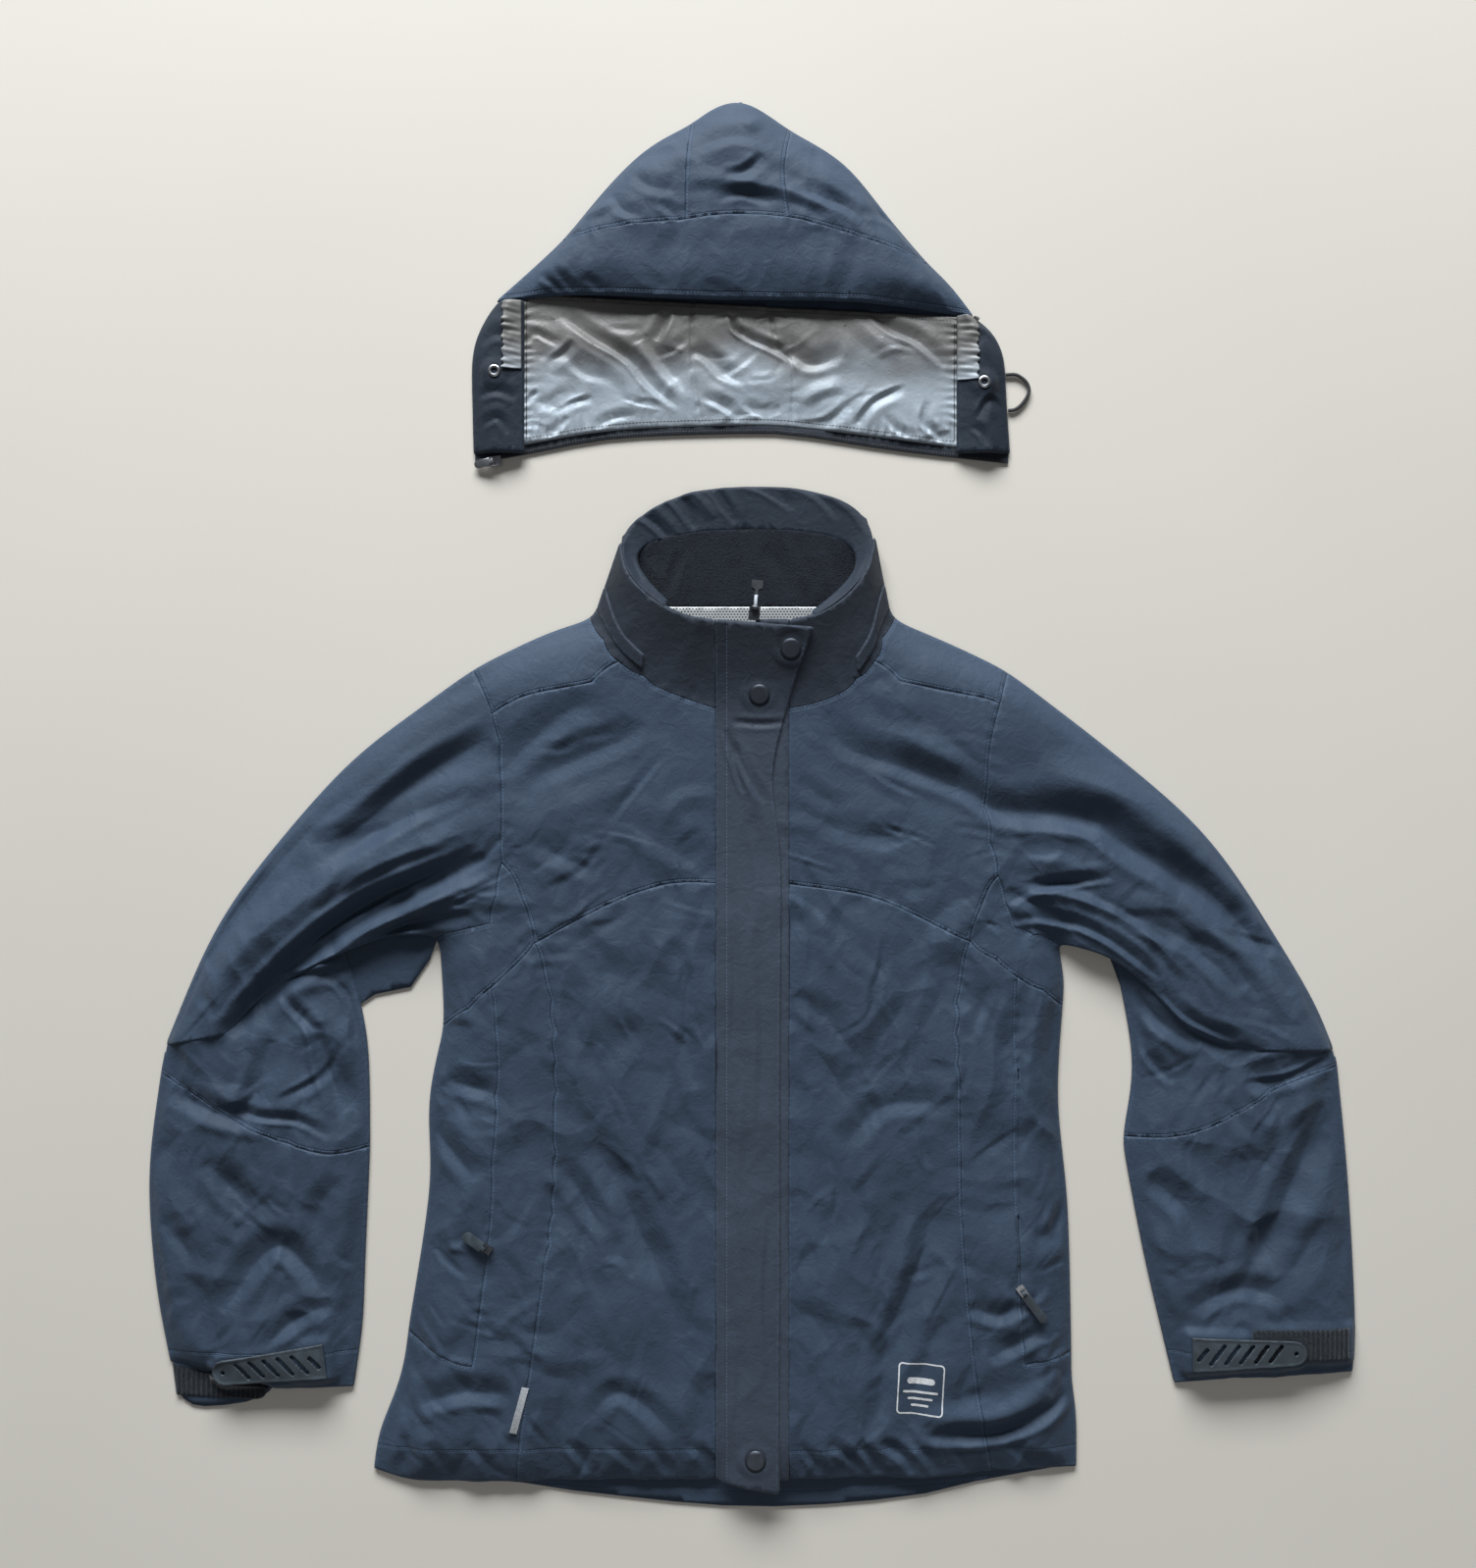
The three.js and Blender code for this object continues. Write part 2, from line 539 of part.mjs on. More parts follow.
// ---- Collar ----
// One row for each section round the collar. The rim is its top edge, and the lip is the lower edge of the
// facing inside it. The front walls stand on the neck seam, and the rear lies back on the surface.
const COLLAR = [
  { part: "right", rimX: -30, rimY: 146, rimZ: 36 },
  { part: "right", rimX: -50, rimY: 148, rimZ: 35 },
  { part: "right", rimX: -72, rimY: 158, rimZ: 32, lipX: -70, lipY: 163, lipZ: 27 },
  { part: "right", rimX: -90, rimY: 171, rimZ: 28, lipX: -85, lipY: 178, lipZ: 21 },
  { part: "right", rimX: -104, rimY: 190, rimZ: 22, lipX: -95, lipY: 194, lipZ: 14 },
  { part: "right", rimX: -107, rimY: 210, rimZ: 12, lipX: -97, lipY: 204, lipZ: 8 },
  { part: "rear", rimX: -103, rimY: 224, rimZ: 8, lipX: -90, lipY: 210, lipZ: 6 },
  { part: "rear", rimX: -59, rimY: 251, rimZ: 5, lipX: -54, lipY: 220, lipZ: 5 },
  { part: "rear", rimX: -4, rimY: 258, rimZ: 4, lipX: -4, lipY: 223, lipZ: 4 },
  { part: "rear", rimX: 50, rimY: 254, rimZ: 5, lipX: 46, lipY: 221, lipZ: 5 },
  { part: "rear", rimX: 90, rimY: 236, rimZ: 8, lipX: 76, lipY: 213, lipZ: 6 },
  { part: "left", rimX: 98, rimY: 214, rimZ: 12, lipX: 86, lipY: 203, lipZ: 8 },
  { part: "left", rimX: 94, rimY: 190, rimZ: 22, lipX: 84, lipY: 189, lipZ: 15 },
  { part: "left", rimX: 84, rimY: 176, rimZ: 27, lipX: 76, lipY: 178, lipZ: 20 },
  { part: "left", rimX: 69, rimY: 161, rimZ: 31, lipX: 64, lipY: 166, lipZ: 26 },
  { part: "left", rimX: 50, rimY: 150, rimZ: 34, lipX: 48, lipY: 154, lipZ: 30 },
  { part: "left", rimX: 29, rimY: 146, rimZ: 36 },
];
const WALL_COLUMNS = 6; // the same as the neck seam's steps
const WALL_ROWS = 4;
const rimPoint = (row) => new THREE.Vector3(row.rimX, row.rimY, row.rimZ);
const lipPoint = (row) => new THREE.Vector3(row.lipX, row.lipY, row.lipZ);
const collarRows = (part) => COLLAR.filter((row) => row.part === part);
const spline = (points, steps) => new THREE.CatmullRomCurve3(points).getSpacedPoints(steps);

const collarWalls = {};
for (const [name, side] of Object.entries(lines)) {
  const rows = collarRows(name);
  const fromShoulder = name === "right" ? rows.reverse() : rows;
  const rim = spline(fromShoulder.map(rimPoint), WALL_COLUMNS);
  const neckSeam = along(side.neckSide, side.neckFront);
  const base = neckSeam.map((p) => new THREE.Vector3(p.x, p.y, bodyForm(p.x, p.y)));
  const wall = [];
  for (let i = 0; i <= WALL_ROWS; i++) {
    wall.push(base.map((p, j) => p.clone().lerp(rim[j], i / WALL_ROWS)));
  }
  collarWalls[name] = wall;
  add(`collar_${name}`, cloth([wall]), flapCloth);
}

// The rear of the collar lies on the surface, as a flat wall from the back neck seam to the rim.
const rimRound = COLLAR.slice(5, 12).map((row) => [row.rimX, row.rimY]);
const collarBackOutline = [
  ...backNeck,
  ...cutLine([[112, 149], [98, 180], ...rimRound.reverse(), [-118, 176], [-129, 149]], 26).slice(1, -1),
];
add("collar_back", flatCloth(collarBackOutline), flapCloth);

// The facing: a band of shell cloth inside the rim, from one front round the rear to the other front.
const faced = COLLAR.filter((row) => row.lipX !== undefined);
const FACING_STEPS = 20;
const facingRim = spline(faced.map(rimPoint), FACING_STEPS);
const facingLip = spline(faced.map(lipPoint), FACING_STEPS);
const FACING_INSET = 1.2; // the facing stops this far inside the rim
const NECK_CENTRE = new THREE.Vector3(-4, 190, 0);
const facing = [0, 0.5, 1].map((v) =>
  facingRim.map((p, j) => {
    const inwards = NECK_CENTRE.clone().sub(p).setZ(0).setLength(FACING_INSET);
    return p.clone().add(inwards).lerp(facingLip[j], v);
  }),
);
add("collar_facing", cloth([facing]), shellCloth);

// The fleece lies from the facing's lip down the inside of the rear, and the mesh below it.
const FLEECE_Z = REST + 0.4;
const FLEECE_Y = 160;
const MESH_Y = 138;
const FLEECE_ROWS = 4;
const FLEECE_TOP_Y = 202;
const fleeceTop = facingLip.filter((p) => p.y > FLEECE_TOP_Y);
const fleeceColumns = fleeceTop.length - 1;
const fleeceGrid = [];
for (let i = 0; i <= FLEECE_ROWS; i++) {
  const v = i / FLEECE_ROWS;
  fleeceGrid.push(
    fleeceTop.map((p, j) => {
      const foot = new THREE.Vector3(THREE.MathUtils.lerp(-108, 96, j / fleeceColumns), FLEECE_Y, FLEECE_Z);
      const q = p.clone().lerp(foot, v);
      q.z = FLEECE_Z + (p.z - FLEECE_Z) * (1 - v) ** 3;
      return q;
    }),
  );
}
add("collar_fleece", cloth([fleeceGrid]), fleece);
const meshGrid = [FLEECE_Y, MESH_Y].map((y) =>
  [-96, -48, 0, 46, 90].map((x) => new THREE.Vector3(x * (y === MESH_Y ? 0.8 : 1), y, FLEECE_Z)),
);
add("neck_mesh", cloth([meshGrid], 1), meshCloth);

// Each cover hides the zip that holds the hood. It lies on the collar's wall, along its lower part.
const COVER_LIFT = 1.9;
const COVER = [
  { from: 0.16, to: 0.42 },
  { from: 0.14, to: 0.36 },
  { from: 0.12, to: 0.3 },
  { from: 0.1, to: 0.26 },
];
for (const [name, wall] of Object.entries(collarWalls)) {
  const grid = ["from", "to"].map((edge) =>
    COVER.map((row, j) => {
      const foot = wall[0][j];
      const top = wall[WALL_ROWS][j];
      const p = foot.clone().lerp(top, row[edge]);
      p.z += COVER_LIFT;
      return p;
    }),
  );
  add(`hood_zip_cover_${name}`, cloth([grid]), flapCloth);
}

// ---- Hood ----
const HOOD = {
  sideRight: [[-153, 458], [-114, 505], [-82, 535], [-50, 551]],
  top: [[-50, 551], [-14, 573], [30, 546]],
  sideLeft: [[30, 546], [73, 521], [108, 478], [142, 438]],
  crownSeamRight: [[-50, 551], [-54, 510], [-55, 469]],
  crownSeamLeft: [[30, 546], [24, 508], [30, 471]],
  brimSeamRight: [[-153, 458], [-128, 463], [-55, 469]],
  brimSeamMiddle: [[-55, 469], [-10, 473], [30, 471]],
  brimSeamLeft: [[30, 471], [105, 451], [142, 438]],
  brimEndRight: [[-153, 458], [-180, 433], [-207, 409]],
  brimEndLeft: [[142, 438], [160, 421], [178, 397]],
  brimEdge: [[-207, 409], [-157, 413], [-55, 409], [90, 406], [178, 397]],
  cheekRight: [[-207, 409], [-226, 374], [-227, 330], [-226, 286]],
  cheekLeft: [[178, 397], [201, 374], [205, 330], [208, 286]],
  neck: [[-226, 286], [-186, 293], [-114, 306], [-20, 310], [32, 309], [119, 296], [208, 286]],
};
const HOOD_STEPS = { side: 6, middle: 4, crown: 4, brimRows: 3, cheek: 6, neck: 16 };
const hoodLine = (name, steps) => cutLine(HOOD[name], steps);
const brimSeam = {
  right: hoodLine("brimSeamRight", HOOD_STEPS.side),
  middle: hoodLine("brimSeamMiddle", HOOD_STEPS.middle),
  left: hoodLine("brimSeamLeft", HOOD_STEPS.side),
};
const crownSeam = {
  right: hoodLine("crownSeamRight", HOOD_STEPS.crown),
  left: hoodLine("crownSeamLeft", HOOD_STEPS.crown),
};
const hoodRim = {
  right: hoodLine("sideRight", HOOD_STEPS.side),
  top: hoodLine("top", HOOD_STEPS.middle),
  left: hoodLine("sideLeft", HOOD_STEPS.side),
};
const brimEnd = {
  right: hoodLine("brimEndRight", HOOD_STEPS.brimRows),
  left: hoodLine("brimEndLeft", HOOD_STEPS.brimRows),
};
const brimColumns = 2 * HOOD_STEPS.side + HOOD_STEPS.middle;
const brimEdge = hoodLine("brimEdge", brimColumns);
const hoodForm = laidForm({
  crown: HOOD_CROWN,
  edges: [
    {
      line: along(
        backwards(brimEnd.right),
        along(hoodRim.right, hoodRim.top, hoodRim.left),
        brimEnd.left,
      ),
      heights: [REST],
      reach: 46,
    },
    { line: brimEdge, heights: [REST, BRIM_EDGE, BRIM_EDGE, BRIM_EDGE, REST], reach: 26 },
  ],
  folds: [
    { fromX: -120, fromY: 440, toX: -30, toY: 446, width: 12, depth: -3 },
    { fromX: 40, fromY: 444, toX: 110, toY: 432, width: 12, depth: -3 },
    { fromX: -15, fromY: 550, toX: -12, toY: 490, width: 16, depth: 3 },
  ],
});
const onHood = (grid) => laidOn(grid, hoodForm);
const still = (line, steps) => Array.from({ length: steps + 1 }, () => line.clone());
add(
  "hood_crown",
  cloth([onHood(patch(hoodRim.top, brimSeam.middle, crownSeam.right, crownSeam.left))]),
  shellCloth,
);
// Each side panel ends in a point, so one of its lines stays where it is.
const pointRight = still(hoodRim.right[0], HOOD_STEPS.crown);
const pointLeft = still(hoodRim.left.at(-1), HOOD_STEPS.crown);
const sideRight = patch(hoodRim.right, brimSeam.right, pointRight, crownSeam.right);
const sideLeft = patch(hoodRim.left, brimSeam.left, crownSeam.left, pointLeft);
add("hood_side_right", cloth([onHood(sideRight)]), shellCloth);
add("hood_side_left", cloth([onHood(sideLeft)]), shellCloth);
const wholeBrimSeam = along(brimSeam.right, brimSeam.middle, brimSeam.left);
add("hood_brim", cloth([onHood(patch(wholeBrimSeam, brimEdge, brimEnd.right, brimEnd.left))]), shellCloth);

const hoodNeck = hoodLine("neck", HOOD_STEPS.neck);
const cheeks = {
  right: hoodLine("cheekRight", HOOD_STEPS.cheek),
  left: hoodLine("cheekLeft", HOOD_STEPS.cheek),
};
const hoodOutline = [
  ...along(backwards(brimEnd.right), hoodRim.right, hoodRim.top, hoodRim.left, brimEnd.left, cheeks.left),
  ...along(backwards(hoodNeck), backwards(cheeks.right)).slice(1, -1),
];
add("hood_back", flatCloth(hoodOutline), shellCloth);

// The zip tape runs along the neck edge, flat on the surface.
const TAPE_WIDTH = 9;
const tapeLower = hoodNeck.map((p) => new THREE.Vector2(p.x, p.y - TAPE_WIDTH));
add("hood_zip_tape", flatCloth([...hoodNeck, ...backwards(tapeLower)]), flapCloth);

// The lining shows inside the face opening. Its folds are long low ridges across it.
const LINING_FOLDS = [
  { fromX: -150, fromY: 372, toX: -20, toY: 392, width: 16, depth: 5 },
  { fromX: 10, fromY: 385, toX: 140, toY: 368, width: 15, depth: 5 },
  { fromX: -120, fromY: 330, toX: 40, toY: 345, width: 14, depth: 4 },
  { fromX: 50, fromY: 330, toX: 150, toY: 318, width: 12, depth: 4 },
];
const LINING_SIDE = { right: -187, left: 167 };
const liningRest = REST + 0.3;
const liningForm = (x, y) =>
  LINING_FOLDS.reduce((height, { fromX, fromY, toX, toY, width, depth }) => {
    const near = nearest([plan([fromX, fromY]), plan([toX, toY])], x, y);
    return height + depth * Math.exp(-((near.distance / width) ** 2));
  }, liningRest);
const LINING_COLUMNS = 14;
const LINING_ROWS = 6;
const liningHem = cutLine(
  [[LINING_SIDE.right, 293], [-114, 305], [-20, 309], [32, 308], [LINING_SIDE.left, 291]],
  LINING_COLUMNS,
);
const liningTop = cutLine([[LINING_SIDE.right, 414], [LINING_SIDE.left, 395]], LINING_COLUMNS);
const upright = (from, to, steps) => cutLine([from.toArray(), to.toArray()], steps);
const lining = patch(
  liningTop,
  liningHem,
  upright(liningTop[0], liningHem[0], LINING_ROWS),
  upright(liningTop.at(-1), liningHem.at(-1), LINING_ROWS),
);
add("hood_lining", cloth([laidOn(lining, liningForm)], 1), liningCloth);

// The face facings roll over at the cheeks: from the outline up to a ridge and down to the lining.
const FACING_RIDGE = 9;
const FACING_FALL = 0.85; // the share of the ridge's arch that is reached at the lining
const FACING_COLUMNS = 4;
const BRIM_CLEAR = 1.5;
const facingHeight = (share) => REST + FACING_RIDGE * Math.sin(Math.PI * Math.min(share, FACING_FALL));
for (const [name, cheek] of Object.entries(cheeks)) {
  const innerX = LINING_SIDE[name];
  const grid = cheek.map((p, i) => {
    const row = [];
    const y = i === 0 ? p.y - BRIM_CLEAR : p.y;
    for (let j = 0; j <= FACING_COLUMNS; j++) {
      const u = j / FACING_COLUMNS;
      const x = THREE.MathUtils.lerp(p.x, innerX, u);
      row.push(new THREE.Vector3(x, y, facingHeight(u)));
    }
    return row;
  });
  add(`hood_facing_${name}`, cloth([grid]), flapCloth);
}

// ---- Hard parts ----
// A closed geometry as a solid, and a solid as a geometry, for joins and cuts.
function solid(geometry) {
  const bare = geometry.clone();
  bare.deleteAttribute("normal");
  bare.deleteAttribute("uv");
  const merged = mergeVertices(bare, 1e-3);
  const mesh = new wasm.Mesh({
    numProp: 3,
    vertProperties: merged.attributes.position.array,
    triVerts: new Uint32Array(merged.index.array),
  });
  return new wasm.Manifold(mesh);
}
function geometryOf(made) {
  const mesh = made.getMesh();
  const geometry = new THREE.BufferGeometry();
  geometry.setAttribute("position", new THREE.BufferAttribute(mesh.vertProperties, 3));
  geometry.setIndex(new THREE.BufferAttribute(mesh.triVerts, 1));
  return geometry;
}
const joined = (...geometries) => geometryOf(geometries.map(solid).reduce((all, next) => all.add(next)));

// The group that holds a hard part at (x, y) on a form, level with the cloth there, and turned about its
// upright.
const UP = new THREE.Vector3(0, 0, 1);
function placeOn(form, x, y, lift, turn = 0) {
  const step = 4;
  const slopeX = (form(x + step, y) - form(x - step, y)) / (2 * step);
  const slopeY = (form(x, y + step) - form(x, y - step)) / (2 * step);
  const normal = new THREE.Vector3(-slopeX, -slopeY, 1).normalize();
  const holder = new THREE.Group();
  holder.position.set(x, y, form(x, y)).addScaledVector(normal, lift);
  holder.quaternion.setFromUnitVectors(UP, normal);
  holder.quaternion.multiply(new THREE.Quaternion().setFromAxisAngle(UP, turn));
  jacket.add(holder);
  return holder;
}

// Snap caps on the storm flap.
const SNAP_RADIUS = 8.6;
const SNAP_PROFILE = [[0, 0], [SNAP_RADIUS - 0.8, 0], [SNAP_RADIUS, 0.8], [6.6, 2], [4.2, 1.6], [0, 1.8]];
const SNAPS = [
  { name: "snap_collar", x: 30, y: 124, lift: 0.5 },
  { name: "snap_neck", x: 5, y: 88, lift: 1.3 }, // it bridges the hollow where the collar leans back
  { name: "snap_hem", x: 2, y: -528, lift: 0.5 },
];
const flapForm = (x, y) => placketForm(x, y) + FLAP_LIFT;
for (const { name, x, y, lift } of SNAPS) {
  const cap = new THREE.LatheGeometry(SNAP_PROFILE.map(plan), 20).rotateX(Math.PI / 2);
  add(name, cap, gunmetal, placeOn(flapForm, x, y, lift));
}

// A zip slider with a bar for its pull between two ears, and a pull whose ring runs round the bar. The
// slider's length is along its own Y, the bar along X, and the pull points along +Y at rest.
const BAR_RADIUS = 0.8;
const RING_HOLE = 1.2;
const RING_RADIUS = 2.2;
const BAR_HEIGHT = 2.6; // above the slider's top
const EAR_THICK = 1;
const box = (width, length, height, x, y, z) =>
  new THREE.BoxGeometry(width, length, height).translate(x, y, z + height / 2);
const rod = (radius, length) =>
  new THREE.CylinderGeometry(radius, radius, length, 12).rotateZ(Math.PI / 2);
const EAR_LENGTH = 3;
const barAt = ({ length, thick }) => new THREE.Vector3(0, (length - EAR_LENGTH) / 2, thick + BAR_HEIGHT);
function slider({ width, length, thick, ringWidth }) {
  const bar = barAt({ length, thick });
  const reach = ringWidth / 2 + SEAM_GAP;
  const earX = reach + EAR_THICK / 2;
  const earBottom = thick - 0.2;
  const ear = (side) => box(EAR_THICK, EAR_LENGTH, BAR_HEIGHT + 1, side * earX, bar.y, earBottom);
  return joined(
    box(width, length, thick, 0, 0, 0),
    ear(-1),
    ear(1),
    rod(BAR_RADIUS, 2 * reach + EAR_THICK).translate(bar.x, bar.y, bar.z),
  );
}
function pull({ ringWidth, tab }) {
  const ring = new THREE.Shape().absarc(0, 0, RING_RADIUS, 0, 2 * Math.PI);
  ring.holes.push(new THREE.Path().absarc(0, 0, RING_HOLE, 0, 2 * Math.PI, true));
  const eye = new THREE.ExtrudeGeometry(ring, { depth: ringWidth, bevelEnabled: false, curveSegments: 16 })
    .translate(0, 0, -ringWidth / 2)
    .rotateY(Math.PI / 2);
  return joined(eye, tab);
}
// A tab's plan along +Y, from the ring out, extruded to its thickness about the bar's height.
function tabPlan(shape, thick) {
  const options = { depth: thick, bevelEnabled: false, curveSegments: 6 };
  return new THREE.ExtrudeGeometry(shape, options).translate(0, 0, -thick / 2);
}
function roundEnded(width, start, end) {
  const half = width / 2;
  return new THREE.Shape()
    .moveTo(-half, start)
    .lineTo(half, start)
    .lineTo(half, end - half)
    .absarc(0, end - half, half, 0, Math.PI)
    .lineTo(-half, start);
}
function waisted(neck, width, start, flare, end) {
  return new THREE.Shape([
    plan([-neck / 2, start]),
    plan([neck / 2, start]),
    plan([neck / 2, flare - 2]),
    plan([width / 2, flare]),
    plan([width / 2, end]),
    plan([-width / 2, end]),
    plan([-width / 2, flare]),
    plan([-neck / 2, flare - 2]),
  ]);
}
const TAB_START = 1.7;

// Each zip: where its slider sits, how the pull lies at rest and what it is made of.
const forms = { right: forearmForm(lines.right), left: forearmForm(lines.left) };
const level = (height) => () => height;
const ZIPS = [
  {
    name: "main",
    form: level(COLLAR_TOP_Z),
    x: 1,
    y: 152,
    lift: -3,
    turn: -0.1,
    droop: -0.6,
    slider: { width: 9, length: 11, thick: 3, ringWidth: 3.4 },
    tab: tabPlan(waisted(2.6, 9, TAB_START, 20, 28), 2),
    finish: rubber,
    body: gunmetal,
  },
  {
    name: "pocket_right",
    form: bodyForm,
    x: -214,
    y: -358,
    lift: 0.5,
    turn: 1,
    droop: -0.14,
    slider: { width: 6.5, length: 8, thick: 1.6, ringWidth: 3 },
    tab: tabPlan(roundEnded(8, TAB_START, 20), 2),
    finish: rubber,
    body: gunmetal,
  },
  {
    name: "pocket_left",
    form: bodyForm,
    x: 216,
    y: -391,
    lift: 0.5,
    turn: -2.5,
    droop: -0.09,
    slider: { width: 6.5, length: 8, thick: 1.6, ringWidth: 3 },
    tab: tabPlan(roundEnded(7, TAB_START, 29), 2.2),
    finish: rubber,
    body: steel,
  },
  {
    name: "hood",
    form: level(CLOTH),
    x: -209,
    y: 278.5,
    lift: LAYER_GAP,
    turn: 1.75,
    droop: -0.25,
    slider: { width: 8, length: 9, thick: 2.2, ringWidth: 3 },
    tab: tabPlan(roundEnded(6.5, TAB_START, 15), 1.4),
    finish: steel,
    body: steel,
  },
];
for (const zip of ZIPS) {
  const holder = placeOn(zip.form, zip.x, zip.y, zip.lift, zip.turn);
  add(`${zip.name}_slider`, slider(zip.slider), zip.body, holder);
  const pivot = new THREE.Group();
  pivot.position.copy(barAt(zip.slider));
  pivot.rotation.x = zip.droop;
  holder.add(pivot);
  add(`${zip.name}_pull`, pull({ ringWidth: zip.slider.ringWidth, tab: zip.tab }), zip.finish, pivot);
}

// ---- Cuffs: a loop band, and a rubber tab with slanted slots that lies on it ----
const BAND_THICK = 1;
const bandGrid = (outline, form, lift) => {
  const [a, b, c, d] = outline;
  const top = cutLine([a, b], 5);
  const bottom = cutLine([d, c], 5);
  return laidOn(patch(top, bottom, cutLine([a, d], 2), cutLine([b, c], 2)), form, lift);
};
const bandRight = [[-471, -457], [-395, -475], [-400, -484], [-468, -480]];
const bandLeft = [[404, -425], [482, -425], [482, -449], [404, -449]];
const bandRightGrid = bandGrid(bandRight, level(REST), BAND_THICK - CLOTH);
const bandLeftGrid = bandGrid(bandLeft, forms.left, BAND_THICK + 0.6);
add("cuff_loop_band_right", cloth([bandRightGrid], BAND_THICK), flapCloth);
add("cuff_loop_band_left", cloth([bandLeftGrid], BAND_THICK), flapCloth);

// A tab along its own +X from its wide sewn end, bent to lie on the sleeve.
const SLOTS = 6;
const SLOT_RADIUS = 2.1;
const TAB = { length: 92, base: 28, end: 20, thick: 2 };
function cuffTab({ x, y, turn, lean, form, lift }) {
  const cells = SLOTS + 1;
  const width = (share) => THREE.MathUtils.lerp(TAB.base, TAB.end, share);
  const straight = TAB.length - TAB.end / 2;
  const shares = Array.from({ length: cells + 1 }, (_, i) => i / cells);
  const side = (sign) => shares.map((share) => plan([straight * share, (sign * width(share)) / 2]));
  const radius = TAB.end / 2;
  const round = [-60, -30, 0, 30, 60].map((angle) => {
    const a = THREE.MathUtils.degToRad(angle);
    return plan([straight + radius * Math.cos(a), radius * Math.sin(a)]);
  });
  const shape = new THREE.Shape([...side(-1), ...round, ...backwards(side(1))]);
  for (let i = 0; i < SLOTS; i++) {
    const share = (i + 0.7) / cells;
    const half = width(share) * (i === 0 ? 0.14 : 0.26);
    const tilt = (lean * half) / (TAB.base * 0.26);
    const low = Math.atan2(-half, -tilt);
    const end = [-60, -20, 20, 60].map((angle) => low + THREE.MathUtils.degToRad(angle));
    const arc = (turned) => end.map((a) => [SLOT_RADIUS * Math.cos(a + turned), SLOT_RADIUS * Math.sin(a + turned)]);
    const slot = [
      ...arc(0).map(([dx, dy]) => [dx - tilt, dy - half]),
      ...arc(Math.PI).map(([dx, dy]) => [dx + tilt, dy + half]),
    ];
    shape.holes.push(new THREE.Path(slot.map(([dx, dy]) => plan([straight * share + dx, dy]))));
  }
  const hole = new THREE.Path().absarc(straight + 1, 0, 1.8, 0, 2 * Math.PI);
  shape.holes.push(hole);
  const options = { depth: TAB.thick, bevelEnabled: false, curveSegments: 4 };
  const tab = new THREE.ExtrudeGeometry(shape, options);
  tab.rotateZ(turn).translate(x, y, 0);
  const at = tab.attributes.position;
  for (let i = 0; i < at.count; i++) {
    at.setZ(i, at.getZ(i) + form(at.getX(i), at.getY(i)) + lift);
  }
  return tab;
}
const tabRight = cuffTab({ x: -345, y: -449, turn: Math.PI + 0.12, lean: -5.5, form: forms.right, lift: 1.8 });
const tabLeft = cuffTab({ x: 354, y: -444, turn: 0.02, lean: 5.5, form: forms.left, lift: 2.4 });
add("cuff_tab_right", tabRight, rubber);
add("cuff_tab_left", tabLeft, rubber);

// ---- The plain label loop beside the right princess seam ----
const label = bandGrid([[-186, -469], [-180, -470], [-190, -507], [-196, -506]], bodyForm, 1.6);
add("seam_label", cloth([label], 1), labelTape);

// ---- Eyelets and the elastic drawcord ----
const EYELET_PROFILE = [[2.6, 0], [5, 0], [5, 0.7], [4, 1.2], [2.6, 1], [2.6, 0]];
const EYELETS = [
  { name: "hood_eyelet_right", x: -209, y: 350, share: 0.44 },
  { name: "hood_eyelet_left", x: 187, y: 341, share: 0.48 },
];
for (const { name, x, y, share } of EYELETS) {
  const ring = new THREE.LatheGeometry(EYELET_PROFILE.map(plan), 20).rotateX(Math.PI / 2);
  add(name, ring, steel).position.set(x, y, facingHeight(share) + 0.5);
}
const CORD_RADIUS = 1.5;
const CORD_Z = CORD_RADIUS + 0.2;
const CORD = [[205, 349], [214, 349], [222, 343], [224, 335], [219, 326], [213, 321], [207, 320]];
const cordPath = new THREE.CatmullRomCurve3(CORD.map(([x, y]) => new THREE.Vector3(x, y, CORD_Z)));
const cordSection = new THREE.Shape().absarc(0, 0, CORD_RADIUS, 0, 2 * Math.PI);
const cordOptions = { steps: 12, extrudePath: cordPath, curveSegments: 8 };
add("hood_cord", new THREE.ExtrudeGeometry(cordSection, cordOptions), cordCloth);

// The origin is at the middle of the whole outline, on the surface.
const middle = new THREE.Box3().setFromObject(jacket).getCenter(new THREE.Vector3());
jacket.position.set(-middle.x, -middle.y, 0);

export default jacket;
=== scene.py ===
# %% [markdown]
# A waterproof jacket that lies closed on a floor, front up, with its zip-off hood laid above the collar.
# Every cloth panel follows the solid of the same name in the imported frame, so sizes and places come from
# there. The looks are added here: folds, seams, stitches and finishes. Lengths in tables are millimetres in
# the frame.
# %% Load the frame
import math
import random
import bmesh
import bpy
import numpy as np
from mathutils import Matrix, Vector, kdtree, noise
from mathutils.bvhtree import BVHTree
from mathutils.geometry import delaunay_2d_cdt


